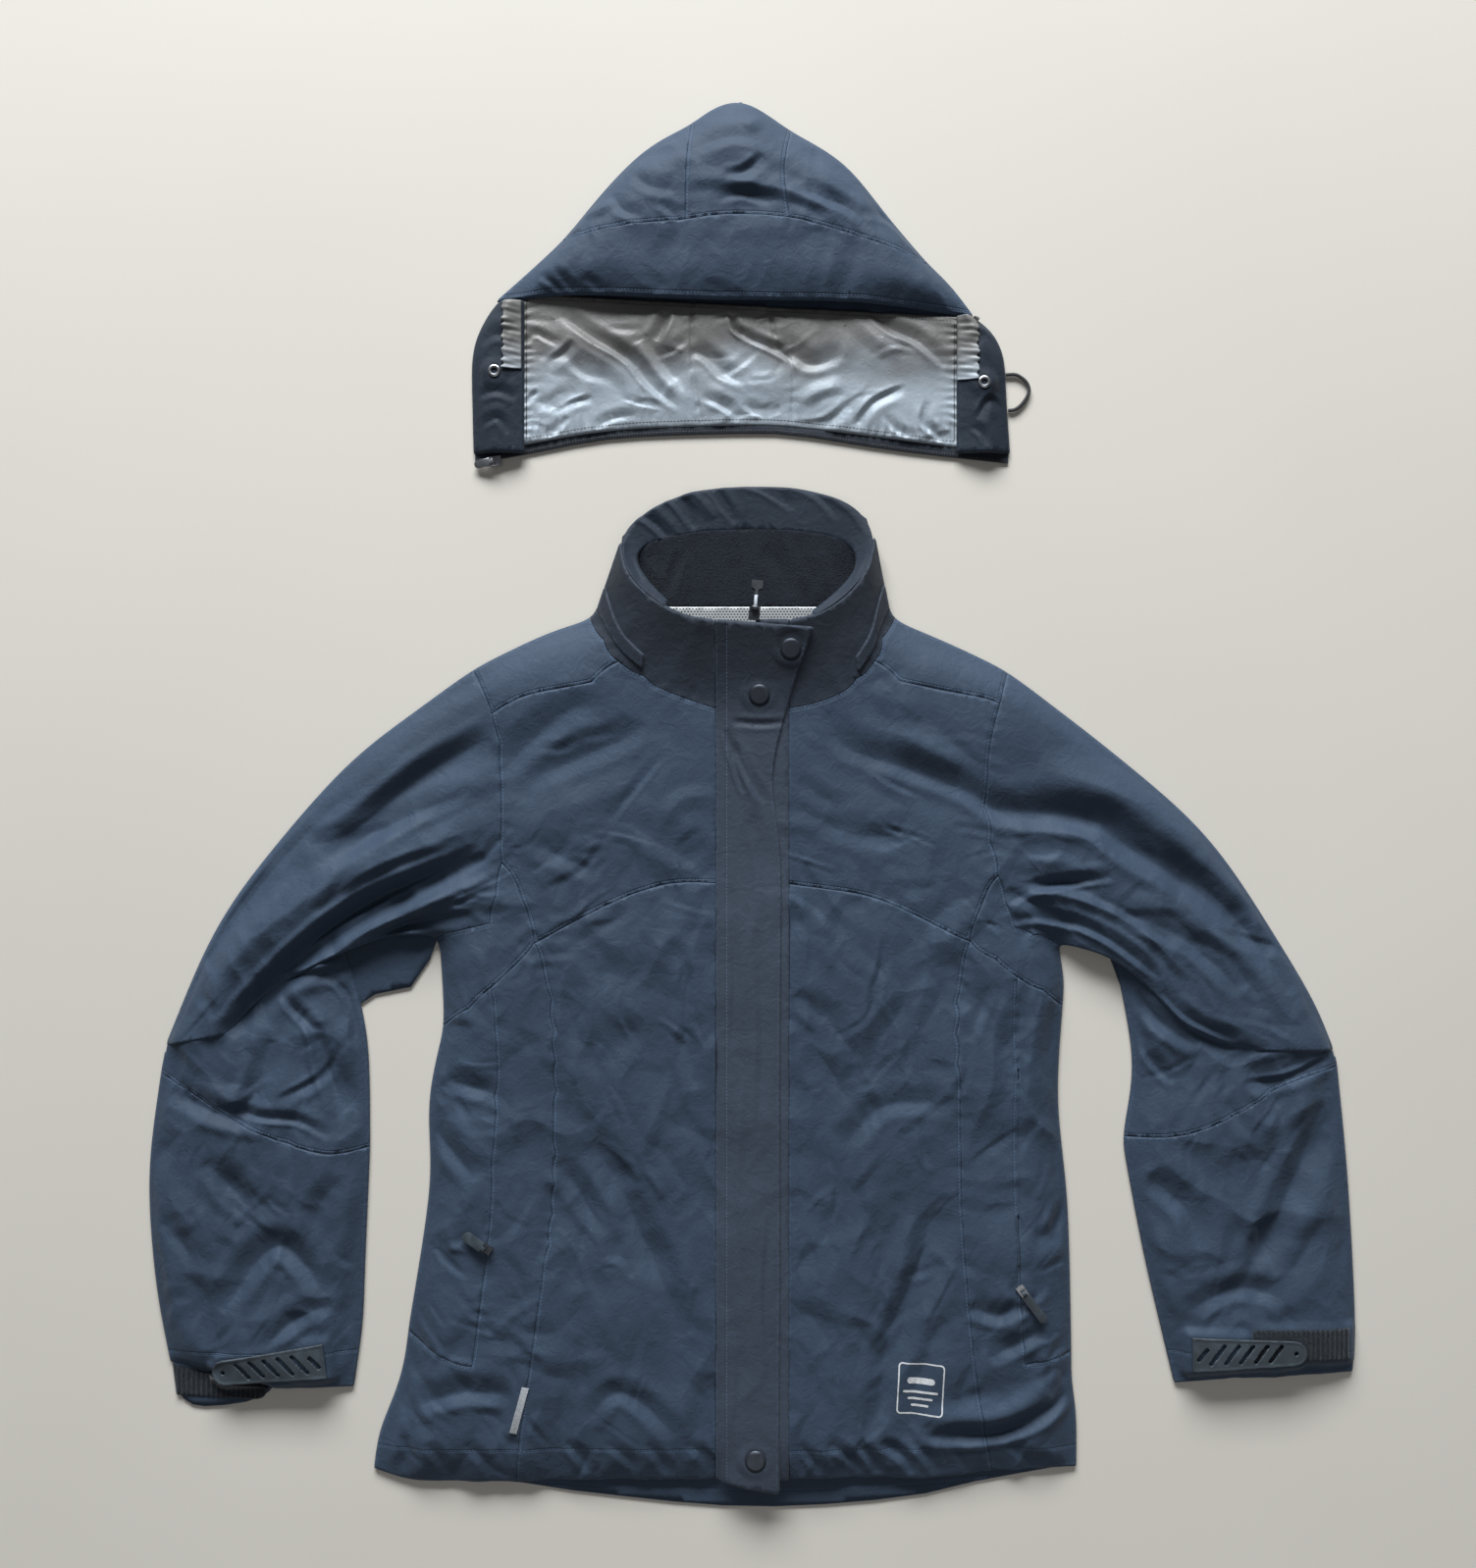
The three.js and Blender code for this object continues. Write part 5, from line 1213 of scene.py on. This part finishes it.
COLLAR_EASE = (2.0, 3.5)
fleece_cloth = fleece_finish()
mesh_cloth = mesh_finish()
for name, folds, look, slot, least in (
    # The collar facing takes the shell cloth painted darker, as painted shade.
    ("collar_facing", FACING_FOLDS, painted_shade_finish, "shell_cloth", 3.6),
    ("collar_fleece", FLEECE_FOLDS, fleece_cloth, "fleece", 2.6),
    ("neck_mesh", [], mesh_cloth, "mesh", 2.4),
):
    net = crumple_net([name], folds=folds, broad=0.6, crisp=0.3, least=least, ease_from=COLLAR_EASE)
    panels_of(net, [name], all_free, None, look, slot)
for side in SIDES:
    name = f"hood_zip_cover_{side}"
    net = crumple_net([name], folds=[], broad=0.2, crisp=0.15)
    panels_of(net, [name], all_free, None, placket_finish, "placket_cloth")
print("collar made")

# %% [markdown]
# The hood is laid on its back with the brim towards the viewer. The brim is stiff and smooth, the crown
# behind it slumps, and the lining shows inside the face opening: a thin satin, gathered where it is sewn,
# with sharp folds that catch the light. Its folds are narrower and steeper than the shell's, and its finish
# is glossier.
# %% Folds of the hood's outer cloth
HOOD_FOLDS = [
    ([(9, 521), (-7, 508), (-23, 505)], 4.5, -2.6, 0.3),
    ([(-52, 500), (-18, 500), (27, 492), (56, 480), (73, 463)], 6.0, 2.4, 0.2),
    ([(-7, 546), (8, 555)], 6.0, 1.6, 0.0),
    ([(-47, 529), (-12, 537), (16, 530)], 6.0, -2.0, 0.2),
    ([(-84, 530), (-58, 536)], 5.0, 1.6, 0.0),
    ([(33, 495), (76, 480), (94, 463)], 5.0, -2.2, 0.2),
    ([(87, 478), (113, 474), (132, 456)], 5.0, -2.0, 0.2),
    ([(40, 530), (66, 512), (80, 490)], 7.0, -1.8, 0.2),
    ([(-96, 508), (-80, 496), (-62, 494)], 6.0, -1.8, 0.2),
    ([(-112, 492), (-104, 478), (-88, 472)], 5.0, -1.8, 0.2),
    ([(-74, 484), (-66, 476), (-60, 472)], 4.0, -1.6, 0.2),
    ([(-30, 484), (-8, 490), (16, 482)], 4.0, -1.7, 0.2),
    ([(-134, 474), (-122, 480), (-112, 486)], 5.0, 1.6, 0.2),
    ([(-173, 429), (-160, 420), (-152, 414)], 3.2, -1.4, 0.2),
    ([(-161, 431), (-150, 421), (-144, 414)], 3.2, -1.4, 0.2),
    ([(-136, 424), (-126, 418), (-121, 413)], 3.2, -1.0, 0.2),
    ([(150, 420), (158, 410), (160, 402)], 3.2, -1.0, 0.2),
]
print("hood folds", len(HOOD_FOLDS))

# %% Folds of the lining and the face facings
LINING_FOLDS = [
    ([(-155, 398), (-130, 379), (-101, 362), (-82, 340), (-58, 322)], 4.5, -3.6, 0.35),
    ([(-160, 392), (-138, 371), (-108, 352), (-90, 332)], 8.0, 2.2, 0.2),
    ([(-145, 376), (-155, 366), (-167, 358)], 3.6, -2.4, 0.3),
    ([(-174, 336), (-184, 328)], 2.4, -1.8, 0.2),
    ([(-130, 331), (-147, 326), (-162, 317)], 2.6, -2.0, 0.3),
    ([(-187, 373), (-177, 382), (-167, 378), (-158, 373)], 2.8, -1.8, 0.3),
    ([(-176, 329), (-162, 325), (-144, 338)], 5.0, -2.2, 0.2),
    ([(-87, 381), (-72, 359), (-51, 332)], 7.0, -2.6, 0.3),
    ([(-78, 376), (-72, 388), (-68, 399)], 4.0, -3.0, 0.3),
    ([(-172, 300), (-161, 303), (-150, 315)], 3.2, -2.2, 0.3),
    ([(-128, 306), (-112, 314), (-92, 316)], 3.4, -1.6, 0.3),
    ([(-48, 369), (-35, 362), (-22, 349), (-6, 342)], 5.0, -2.8, 0.3),
    ([(-17, 398), (-14, 386), (-7, 380)], 2.6, -3.0, 0.3),
    ([(-42, 332), (-22, 323), (-10, 312)], 4.0, -2.4, 0.3),
    ([(-14, 388), (-5, 380), (16, 370), (31, 361)], 3.2, -2.6, 0.3),
    ([(20, 376), (35, 364), (50, 357), (75, 366)], 6.0, -2.6, 0.3),
    ([(96, 401), (112, 386), (134, 376), (158, 356)], 4.5, -3.4, 0.35),
    ([(84, 396), (100, 378), (122, 366)], 8.0, 2.0, 0.2),
    ([(124, 339), (99, 327), (83, 307)], 3.4, -2.6, 0.3),
    ([(142, 327), (139, 311), (149, 301), (158, 293)], 3.2, -2.6, 0.3),
    ([(38, 326), (57, 336), (75, 340)], 5.0, 2.0, 0.2),
    ([(81, 328), (60, 311), (35, 308)], 4.0, -2.2, 0.3),
    ([(108, 316), (118, 304), (134, 298)], 3.0, -1.8, 0.3),
    ([(-8, 326), (8, 318), (24, 322)], 3.6, -1.8, 0.3),
    *scattered((-180, 296, 160, 400), 26, 31, length=(14, 46), width=(1.8, 3.6), depth=(0.9, 1.9)),
]
LINING_SEAMS = (
    [(-49, 408), (-48, 352), (-42, 309)],
    [(14, 404), (20, 374), (31, 360), (34, 340), (32, 309)],
)
LINING_SIDES = (-187, 167)
BRIM_EDGE = [(-207, 409), (-157, 413), (-55, 409), (90, 406), (178, 397)]
BRIM_ROW = 3.5
CHEEK_FOLDS = [
    ([(-224, 330), (-206, 334), (-192, 328)], 4.0, -1.8, 0.3),
    ([(-220, 306), (-206, 312), (-198, 300)], 3.4, -1.4, 0.3),
    ([(-222, 372), (-210, 380), (-196, 378)], 5.0, -1.6, 0.3),
    ([(200, 372), (188, 380), (176, 374)], 5.0, -1.6, 0.3),
    ([(204, 320), (192, 328), (182, 312)], 3.6, -1.8, 0.3),
    ([(178, 306), (186, 300), (190, 290)], 3.4, -1.4, 0.3),
]


print("lining folds", len(LINING_FOLDS), "facing folds", len(CHEEK_FOLDS))

# %% Outer hood and face facings
def brim_hem(x, y):
    path = np.array(BRIM_EDGE, float)
    away, _, _ = along_path(np.array([[x, y]], float), path)
    return away[0] + HEM_ROW - BRIM_ROW if y < 440 else FAR


names = ["hood_crown", "hood_side_right", "hood_side_left", "hood_brim"]
net = crumple_net(names, folds=HOOD_FOLDS, broad=1.2, crisp=0.6)
panels_of(net, names, all_free, {"hood_brim": brim_hem})
for side in SIDES:
    name = f"hood_facing_{side}"
    net = crumple_net([name], folds=CHEEK_FOLDS, broad=0.8, crisp=0.3, seats=[f"hood_eyelet_{side}"])
    # The face facings take the shell cloth painted darker, as painted shade.
    panels_of(net, [name], all_free, None, painted_shade_finish, "placket_cloth")

# %% Lining of the hood
def lining_finish():
    finish = Finish("satin_lining_painted_shade_and_reflection", (0.26, 0.25, 0.235), 0.48, metallic=0.08, specular=0.4)
    tone = finish.noise(16, 3, 0.8)
    crinkle = finish.noise(150, 4, 1.4)
    thread = finish.noise(1400, 2, stretch=(1, 3, 1))
    split = finish.add("ShaderNodeSeparateXYZ")
    finish.feed(split.inputs[0], finish.place)
    # Painted light: the lining is painted bluish silver low down, as painted reflection of the window, and
    # dark brown towards the brim, as painted shade of the brim.
    level = finish.math("ADD", split.outputs["Y"], finish.math("MULTIPLY", tone, 0.06))
    upper = finish.between(level, 0.355, 0.415)
    base = finish.blend(upper, (0.30, 0.345, 0.39, 1), (0.15, 0.145, 0.14, 1))
    finish.bump(crinkle, 0.5, 0.0006)
    finish.bump(thread, 0.2, 0.00006)
    row = finish.band(finish.stored("edge"), 3.0, 0.25, 0.3)
    step = finish.math("FRACT", finish.math("DIVIDE", finish.stored("hem_run"), STITCH_MM))
    dash = finish.band(step, 0.5, 0.3, 0.1)
    base = finish.blend(finish.math("MULTIPLY", row, dash), base, (0.05, 0.05, 0.05, 1))
    return finish.done(base)


def lining_shape(points, away):
    """The lining's two upright seams, and the gathers along its sewn edges."""
    xy = points[:, :2]
    height = np.zeros(len(points))
    for path in LINING_SEAMS:
        off, share, side = along_path(xy, smooth_path(path))
        height -= 1.6 * np.exp(-((off / 1.6) ** 2))
        height += 0.4 * np.sin(share * 50 + 5 * waves(xy, 30, 4.0)) * np.exp(-off / 5)
    low = points[:, 1] - points[:, 1].min()
    bottom = np.exp(-np.maximum(low - 12, 0) / 7)
    height += 0.8 * np.sin(points[:, 0] / 6.5 * 2 * math.pi + 3 * waves(xy, 24, 8.0)) * bottom
    inside = np.minimum(points[:, 0] - LINING_SIDES[0], LINING_SIDES[1] - points[:, 0])
    sides = np.exp(-inside.clip(0) / 7)
    height += 0.9 * np.sin(points[:, 1] / 7.5 * 2 * math.pi + 3 * waves(xy, 24, 9.0)) * sides
    return height


lining_cloth = lining_finish()
net = crumple_net(
    ["hood_lining"], folds=LINING_FOLDS, broad=1.4, crisp=0.5, shape=lining_shape,
    least=2.3, ease_from=(0, 1),
)
panels_of(net, ["hood_lining"], all_free, None, lining_cloth, "lining")
print("hood made")

# %% [markdown]
# The layers underneath lie flat on the surface: the back, the under sleeves, the rear of the collar and the
# back of the hood. Little of them shows, but all of them have an edge that does. Each is the upper face of
# its solid, cut into small triangles so that it can be given low creases, and then thickened downwards.
# %% Flat layers
UNDER_WALL = 1.2
UNDER_INSET = 0.8
UNDER_RISE = 0.25
BACK_HEM_Y = -572
BACK_HEM_BOW = 22
BACK_MIDDLE_X = -6
BACK_HALF = 292
BACK_ROW = 14


def flat_layer(name, finish, spacing, creases=(), hem=None):
    """One lower layer, with its soft rises and creases and the numbers for its stitches."""
    bm = bmesh.new()
    bm.from_mesh(nodes[name].data)
    bmesh.ops.delete(bm, geom=[face for face in bm.faces if face.normal.z < 0.9], context="FACES")
    bmesh.ops.remove_doubles(bm, verts=bm.verts, dist=1e-5)
    bm = fine_net(bm, spacing)
    edges = [edge for edge in bm.edges if edge.is_boundary]
    for v, way in outward(edges).items():
        v.co -= way * UNDER_INSET * MM
    points = np.array([v.co for v in bm.verts]) / MM
    away, run, _ = to_lines(points, edges)
    xy = points[:, :2]
    height = UNDER_RISE * (1 + waves(xy, 60, 2.0)) + fold_height(xy, creases)
    height *= smooth_step(away, 0.0, 12.0)
    points[:, 2] += np.maximum(height, 0)
    for v, point in zip(bm.verts, points):
        v.co = point * MM
    far = np.full(len(points), FAR)
    hems = np.array([hem(x, y) for x, y in xy]) if hem else far
    store(bm, {"edge": away, "seam": far, "run": run, "hem": hems, "hem_run": points[:, 0]})
    cloth_piece(name, to_piece_mesh(bm, name), finish, wall=UNDER_WALL)


def back_hem(x, y):
    share = (x - BACK_MIDDLE_X) / BACK_HALF
    return y - BACK_HEM_Y - BACK_HEM_BOW * share * share + HEM_ROW - BACK_ROW if y < -500 else FAR


BACK_FOLDS = scattered((-280, -560, 250, 140), 40, 41, length=(40, 120), width=(5, 9), depth=(0.3, 0.7))
UNDER_FOLDS = [
    ([(-330, -150), (-300, -150), (-268, -134)], 5.0, 1.2, 0.3),
    ([(-322, -168), (-296, -160), (-262, -150)], 4.0, 1.0, 0.3),
]
flat_layer("back", shell_finish, 7.0, BACK_FOLDS, hem=back_hem)
flat_layer("under_sleeve_right", shell_finish, 7.0, UNDER_FOLDS)
flat_layer("under_sleeve_left", shell_finish, 8.0)
flat_layer("collar_back", placket_finish, 8.0)
flat_layer("hood_back", shell_finish, 8.0)
print("flat layers made")

# %% [markdown]
# Two short strips of the lining run on past its sides as casings for the drawcord. The elastic gathers
# them, so each is a little ruffle: a grid whose rows are raised and drawn in by turns.
# %% Gathered casings beside the lining
CASINGS = {"right": (-203, -187, 353, 409), "left": (166, 184, 344, 396)}
CASING_WALL = 0.35
CASING_LIFT = 0.75
for side, (x0, x1, y0, y1) in CASINGS.items():
    bm = bmesh.new()
    bmesh.ops.create_grid(bm, x_segments=14, y_segments=64, size=0.5)
    below = f"hood_facing_{side}_cloth"
    facing = BVHTree.FromObject(bpy.data.objects[below], bpy.context.evaluated_depsgraph_get())
    for v in bm.verts:
        u = v.co.x + 0.5
        y = y0 + (v.co.y + 0.5) * (y1 - y0)
        outer = 1 - u if side == "right" else u
        gather = math.sin(y * 0.72 + 1.4 * math.sin(y * 0.21)) + 0.5 * math.sin(y * 1.3 + 4 * u)
        x = x0 + u * (x1 - x0) + (1 if side == "left" else -1) * outer * (0.9 * gather - 1.0)
        hit = facing.ray_cast(Vector((x, y, 60)) * MM, Vector((0, 0, -1)))[0]
        base = hit.z / MM if hit else 6.0
        v.co = Vector((x, y, base + CASING_LIFT + 0.55 * (1 + gather) * (0.35 + 0.65 * outer))) * MM
    points = np.array([v.co for v in bm.verts]) / MM
    rim_away, _, _ = to_lines(points, [edge for edge in bm.edges if edge.is_boundary])
    store(bm, {"edge": rim_away + 4, "hem_run": points[:, 1]})
    mesh = to_piece_mesh(bm, f"casing_{side}")
    mesh.materials.append(lining_cloth)
    mesh.shade_smooth()
    piece = bpy.data.objects.new(f"hood_casing_{side}", mesh)
    scene.collection.objects.link(piece)
    modifier = piece.modifiers.new("wall", "SOLIDIFY")
    modifier.thickness = CASING_WALL * MM
    modifier.offset = -1
    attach(piece, "jacket")
print("casings made")

# %% [markdown]
# The cuffs close with the rubber tabs over a looped band. The band is ribbed like the soft half of any such
# closure, so its ribs are real ridges.
# %% Ribbed cuff bands
RIB_PITCH = 4.0
RIB_HEIGHT = 0.6


def ribs(points, away):
    return RIB_HEIGHT * np.sin(points[:, 0] / RIB_PITCH * 2 * math.pi) + 0.2 * waves(points[:, :2], 3, 6.0)


def loop_finish():
    finish = Finish("loop_band_pile", (0.010, 0.015, 0.022), 0.9, sheen=0.25, specular=0.15)
    loops = finish.noise(700, 3, 2.0)
    share = finish.between(loops, 0.4, 0.62)
    base = finish.blend(share, (0.004, 0.006, 0.009, 1), (0.020, 0.028, 0.039, 1))
    finish.bump(loops, 1.0, 0.0008)
    return finish.done(base)


loop_cloth = loop_finish()
for side in SIDES:
    name = f"cuff_loop_band_{side}"
    tab = [f"cuff_tab_{side}"]
    net = crumple_net(
        [name], folds=[], broad=0.3, crisp=0.05, shape=ribs, seats=tab, least=2.6, ease_from=(0, 1)
    )
    panels_of(net, [name], all_free, None, loop_cloth, "placket_cloth")

# %% [markdown]
# The sliders, pulls, eyelets and snap caps are copies of their solids with round edges, because moulded and
# cast parts have no sharp ones. Each row has a piece, its finish, its slot, its body and the width of its
# edges.
# %% Hard parts with rounded edges
SHARP_ABOVE = 35


def polished(name, finish, body="jacket", width=0.3):
    """A copy of a hard solid with its sharp edges rounded."""
    bm = bmesh.new()
    bm.from_mesh(nodes[name].data)
    bmesh.ops.remove_doubles(bm, verts=bm.verts, dist=1e-6)
    mesh = to_piece_mesh(bm, name)
    mesh.materials.clear()
    mesh.materials.append(finish)
    mesh.shade_smooth()
    piece = bpy.data.objects.new(f"{name}_part", mesh)
    scene.collection.objects.link(piece)
    bevel = piece.modifiers.new("round", "BEVEL")
    bevel.width = width * MM
    bevel.segments = 3
    bevel.limit_method = "ANGLE"
    bevel.angle_limit = math.radians(SHARP_ABOVE)
    bevel.harden_normals = True
    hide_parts(name)
    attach(piece, body)
    return piece


for name, finish, slot, body, width in (
    ("main_slider", gun_look, "gunmetal", "jacket", 0.35),
    ("main_pull", pull_look, "rubber", "main_pull", 0.3),
    ("pocket_right_slider", gun_look, "gunmetal", "jacket", 0.25),
    ("pocket_right_pull", rubber_look, "rubber", "pocket_right_pull", 0.35),
    ("pocket_left_slider", steel_look, "steel", "jacket", 0.25),
    ("pocket_left_pull", rubber_look, "rubber", "pocket_left_pull", 0.35),
    ("hood_slider", steel_look, "steel", "jacket", 0.3),
    ("hood_pull", steel_look, "steel", "hood_pull", 0.3),
    ("hood_eyelet_right", steel_look, "steel", "jacket", 0.15),
    ("hood_eyelet_left", steel_look, "steel", "jacket", 0.15),
    ("snap_collar", cap_look, "gunmetal", "jacket", 0.2),
    ("snap_neck", cap_look, "gunmetal", "jacket", 0.2),
    ("snap_hem", cap_look, "gunmetal", "jacket", 0.2),
):
    polished(name, finish, body, width)
print("hard parts made")

# %% [markdown]
# The hood was zipped to the collar, so its neck edge carries a tape with one row of moulded teeth. The tape
# has the placket's finish, and its stored numbers say that no seam is near.
# %% Hood zip
TOOTH_PITCH = 2.2
TOOTH_SIZE = (1.3, 2.6, 1.2)
TOOTH_OFFSET = (0, 1.6, 0.35)
TOOTH_EDGE = 0.25
tape = polished("hood_zip_tape", placket_finish)
for name in SOFT_ROWS:
    marks = tape.data.attributes.new(name, "FLOAT", "POINT")
    marks.data.foreach_set("value", [FAR] * len(tape.data.vertices))


def zip_teeth():
    """A row of teeth along the tape's outer edge."""
    bm = bmesh.new()
    bm.from_mesh(nodes["hood_zip_tape"].data)
    bmesh.ops.remove_doubles(bm, verts=bm.verts, dist=1e-6)
    bmesh.ops.delete(bm, geom=[face for face in bm.faces if face.normal.z < 0.5], context="FACES")
    ways = outward([edge for edge in bm.edges if edge.is_boundary])
    low = {v for v, way in ways.items() if way.y < -0.3}
    edges = [edge for edge in bm.edges if edge.is_boundary and low.issuperset(edge.verts)]
    line = np.array([v.co for v in max(chains(edges), key=len)]) / MM
    if line[0, 0] > line[-1, 0]:
        line = line[::-1]
    bm.free()
    reach = np.concatenate([[0], np.cumsum(np.linalg.norm(np.diff(line, axis=0), axis=1))])
    teeth = bmesh.new()
    for run in np.arange(TOOTH_PITCH, reach[-1] - TOOTH_PITCH, TOOTH_PITCH):
        spot = [np.interp(run, reach, line[:, k]) for k in range(3)]
        onward = [np.interp(run + 1, reach, line[:, k]) for k in range(3)]
        turn = Matrix.Rotation(math.atan2(onward[1] - spot[1], onward[0] - spot[0]), 4, "Z")
        offset = Matrix.Translation(Vector(TOOTH_OFFSET) * MM)
        place = Matrix.Translation(Vector(spot) * MM) @ turn @ offset
        size = Matrix.Diagonal((*(v * MM for v in TOOTH_SIZE), 1))
        bmesh.ops.create_cube(teeth, size=1.0, matrix=place @ size)
    piece = bpy.data.objects.new("hood_zip_teeth", to_piece_mesh(teeth, "hood_zip_teeth"))
    scene.collection.objects.link(piece)
    piece.data.materials.append(plain("tooth_nylon", (0.016, 0.018, 0.022), 0.4))
    bevel = piece.modifiers.new("round", "BEVEL")
    bevel.width = TOOTH_EDGE * MM
    bevel.segments = 2
    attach(piece, "jacket")
    print("teeth", len(piece.data.polygons) // 6)


zip_teeth()

# %% [markdown]
# A plain woven label is sewn into the side seam, and a small printed patch sits near the left hem. The
# print is a thin rubbery film: a rounded frame with plain bars in it. It is made flat, cut to its shape and
# then laid on the cloth by dropping each point on it.
# %% Label and printed patch
def label_finish():
    finish = Finish("label_weave", (0.42, 0.44, 0.46), 0.7, sheen=0.2)
    weave = finish.noise(1100, 1, stretch=(1, 3, 1))
    share = finish.between(weave, 0.35, 0.65)
    finish.bump(weave, 0.6, 0.0002)
    return finish.done(finish.blend(share, (0.22, 0.23, 0.25, 1), (0.38, 0.40, 0.42, 1)))


polished("seam_label", label_finish())
PATCH = {"x": 135.5, "y": -471, "width": 37, "height": 42, "corner": 3.5, "line": 1.1, "turn": -3}
PATCH_BARS = ((0, 6.5, 22, 5.0), (0, -2.5, 28, 1.8), (0, -8.0, 20, 1.8), (0, -13.5, 14, 1.8))
PATCH_LIFT = 0.12
PATCH_WALL = 0.1
PATCH_NET = 1.6

# %% The patch as a flat mesh
def rounded_outline(width, height, corner, steps=6):
    """The points of a rounded rectangle about the middle."""
    points = []
    for quarter, (sx, sy) in enumerate(((1, 1), (-1, 1), (-1, -1), (1, -1))):
        for k in range(steps + 1):
            a = math.radians(90 * (quarter + k / steps))
            cx = sx * (width / 2 - corner)
            cy = sy * (height / 2 - corner)
            points.append((cx + corner * math.cos(a), cy + corner * math.sin(a)))
    return points


def printed_patch():
    """The print as one flat mesh, dropped on the cloth of the left front."""
    bm = bmesh.new()
    frame_lines = []
    for inset in (0.0, PATCH["line"]):
        outline = rounded_outline(
            PATCH["width"] - 2 * inset, PATCH["height"] - 2 * inset, PATCH["corner"] - inset * 0.8
        )
        verts = [bm.verts.new((x, y, 0)) for x, y in outline]
        frame_lines += [bm.edges.new(pair) for pair in zip(verts, verts[1:] + verts[:1])]
    bmesh.ops.bridge_loops(bm, edges=frame_lines)
    for x, y, width, height in PATCH_BARS:
        outline = rounded_outline(width, height, height * 0.49, 4)
        bm.faces.new([bm.verts.new((x + a, y + b, 0)) for a, b in outline])
    for v in bm.verts:
        v.co *= MM
    bm = fine_net(bm, PATCH_NET)
    turn = Matrix.Rotation(math.radians(PATCH["turn"]), 4, "Z")
    place = Matrix.Translation((PATCH["x"] * MM, PATCH["y"] * MM, 0))
    bmesh.ops.transform(bm, matrix=place @ turn, verts=bm.verts)
    front = bpy.data.objects["front_left_cloth"]
    cloth = BVHTree.FromObject(front, bpy.context.evaluated_depsgraph_get())
    for v in bm.verts:
        spot = cloth.ray_cast(Vector((v.co.x, v.co.y, 0.1)), Vector((0, 0, -1)))[0]
        v.co.z = spot.z + PATCH_LIFT * MM
    face_up(bm)
    return to_piece_mesh(bm, "patch")

# %% The patch laid on the cloth
def print_finish():
    finish = Finish("patch_print", (0.60, 0.61, 0.62), 0.5)
    worn = finish.noise(300, 3, 0.5)
    share = finish.between(worn, 0.3, 0.7)
    finish.bump(worn, 0.3, 0.0001)
    return finish.done(finish.blend(share, (0.50, 0.51, 0.52, 1), (0.66, 0.67, 0.68, 1)))


patch = bpy.data.objects.new("hem_patch_print", printed_patch())
scene.collection.objects.link(patch)
patch.data.materials.append(print_finish())
modifier = patch.modifiers.new("wall", "SOLIDIFY")
modifier.thickness = PATCH_WALL * MM
modifier.offset = -1
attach(patch, "jacket")
print("patch points", len(patch.data.vertices))

# %% [markdown]
# The light is a big soft window beyond the hood, low enough to rake across the folds, with a weak fill from
# the hem's side. The floor is plain and pale, just below the cloth.
# %% Floor, light and world
FLOOR_HALF = 3.0
FLOOR_DROP = 0.5
WORLD_LIGHT = 0.11


def area_light(name, place, aim, size, power, color=(1, 1, 1)):
    """A rectangular light at this place, turned to face the point that it aims at."""
    data = bpy.data.lights.new(name, "AREA")
    data.shape = "RECTANGLE"
    data.size, data.size_y = size
    data.energy = power
    data.color = color
    light = bpy.data.objects.new(name, data)
    light.location = place
    light.rotation_euler = (Vector(aim) - Vector(place)).to_track_quat("-Z", "Y").to_euler()
    scene.collection.objects.link(light)


area_light("window", (-0.5, 4.4, 2.2), (0, 0.0, 0), (4.0, 1.7), 560, (0.93, 0.97, 1.0))
area_light("fill", (0.2, -1.15, 1.5), (0, -0.45, 0), (1.8, 1.0), 4)
world = bpy.data.worlds.new("studio")
scene.world = world
world.use_nodes = True
world.node_tree.nodes["Background"].inputs["Color"].default_value = (0.9, 0.95, 1, 1)
world.node_tree.nodes["Background"].inputs["Strength"].default_value = WORLD_LIGHT
scene.view_settings.view_transform = "Standard"


def floor_finish():
    finish = Finish("floor_matte", (0.62, 0.58, 0.52), 0.6)
    tone = finish.noise(3, 2)
    return finish.done(finish.blend(tone, (0.60, 0.56, 0.50, 1), (0.64, 0.60, 0.54, 1)))


bm = bmesh.new()
bmesh.ops.create_grid(bm, x_segments=1, y_segments=1, size=FLOOR_HALF)
bmesh.ops.translate(bm, verts=bm.verts, vec=(0, 0, -FLOOR_DROP * MM))
floor = bpy.data.objects.new("floor", to_piece_mesh(bm, "floor"))
scene.collection.objects.link(floor)
floor.data.materials.append(floor_finish())
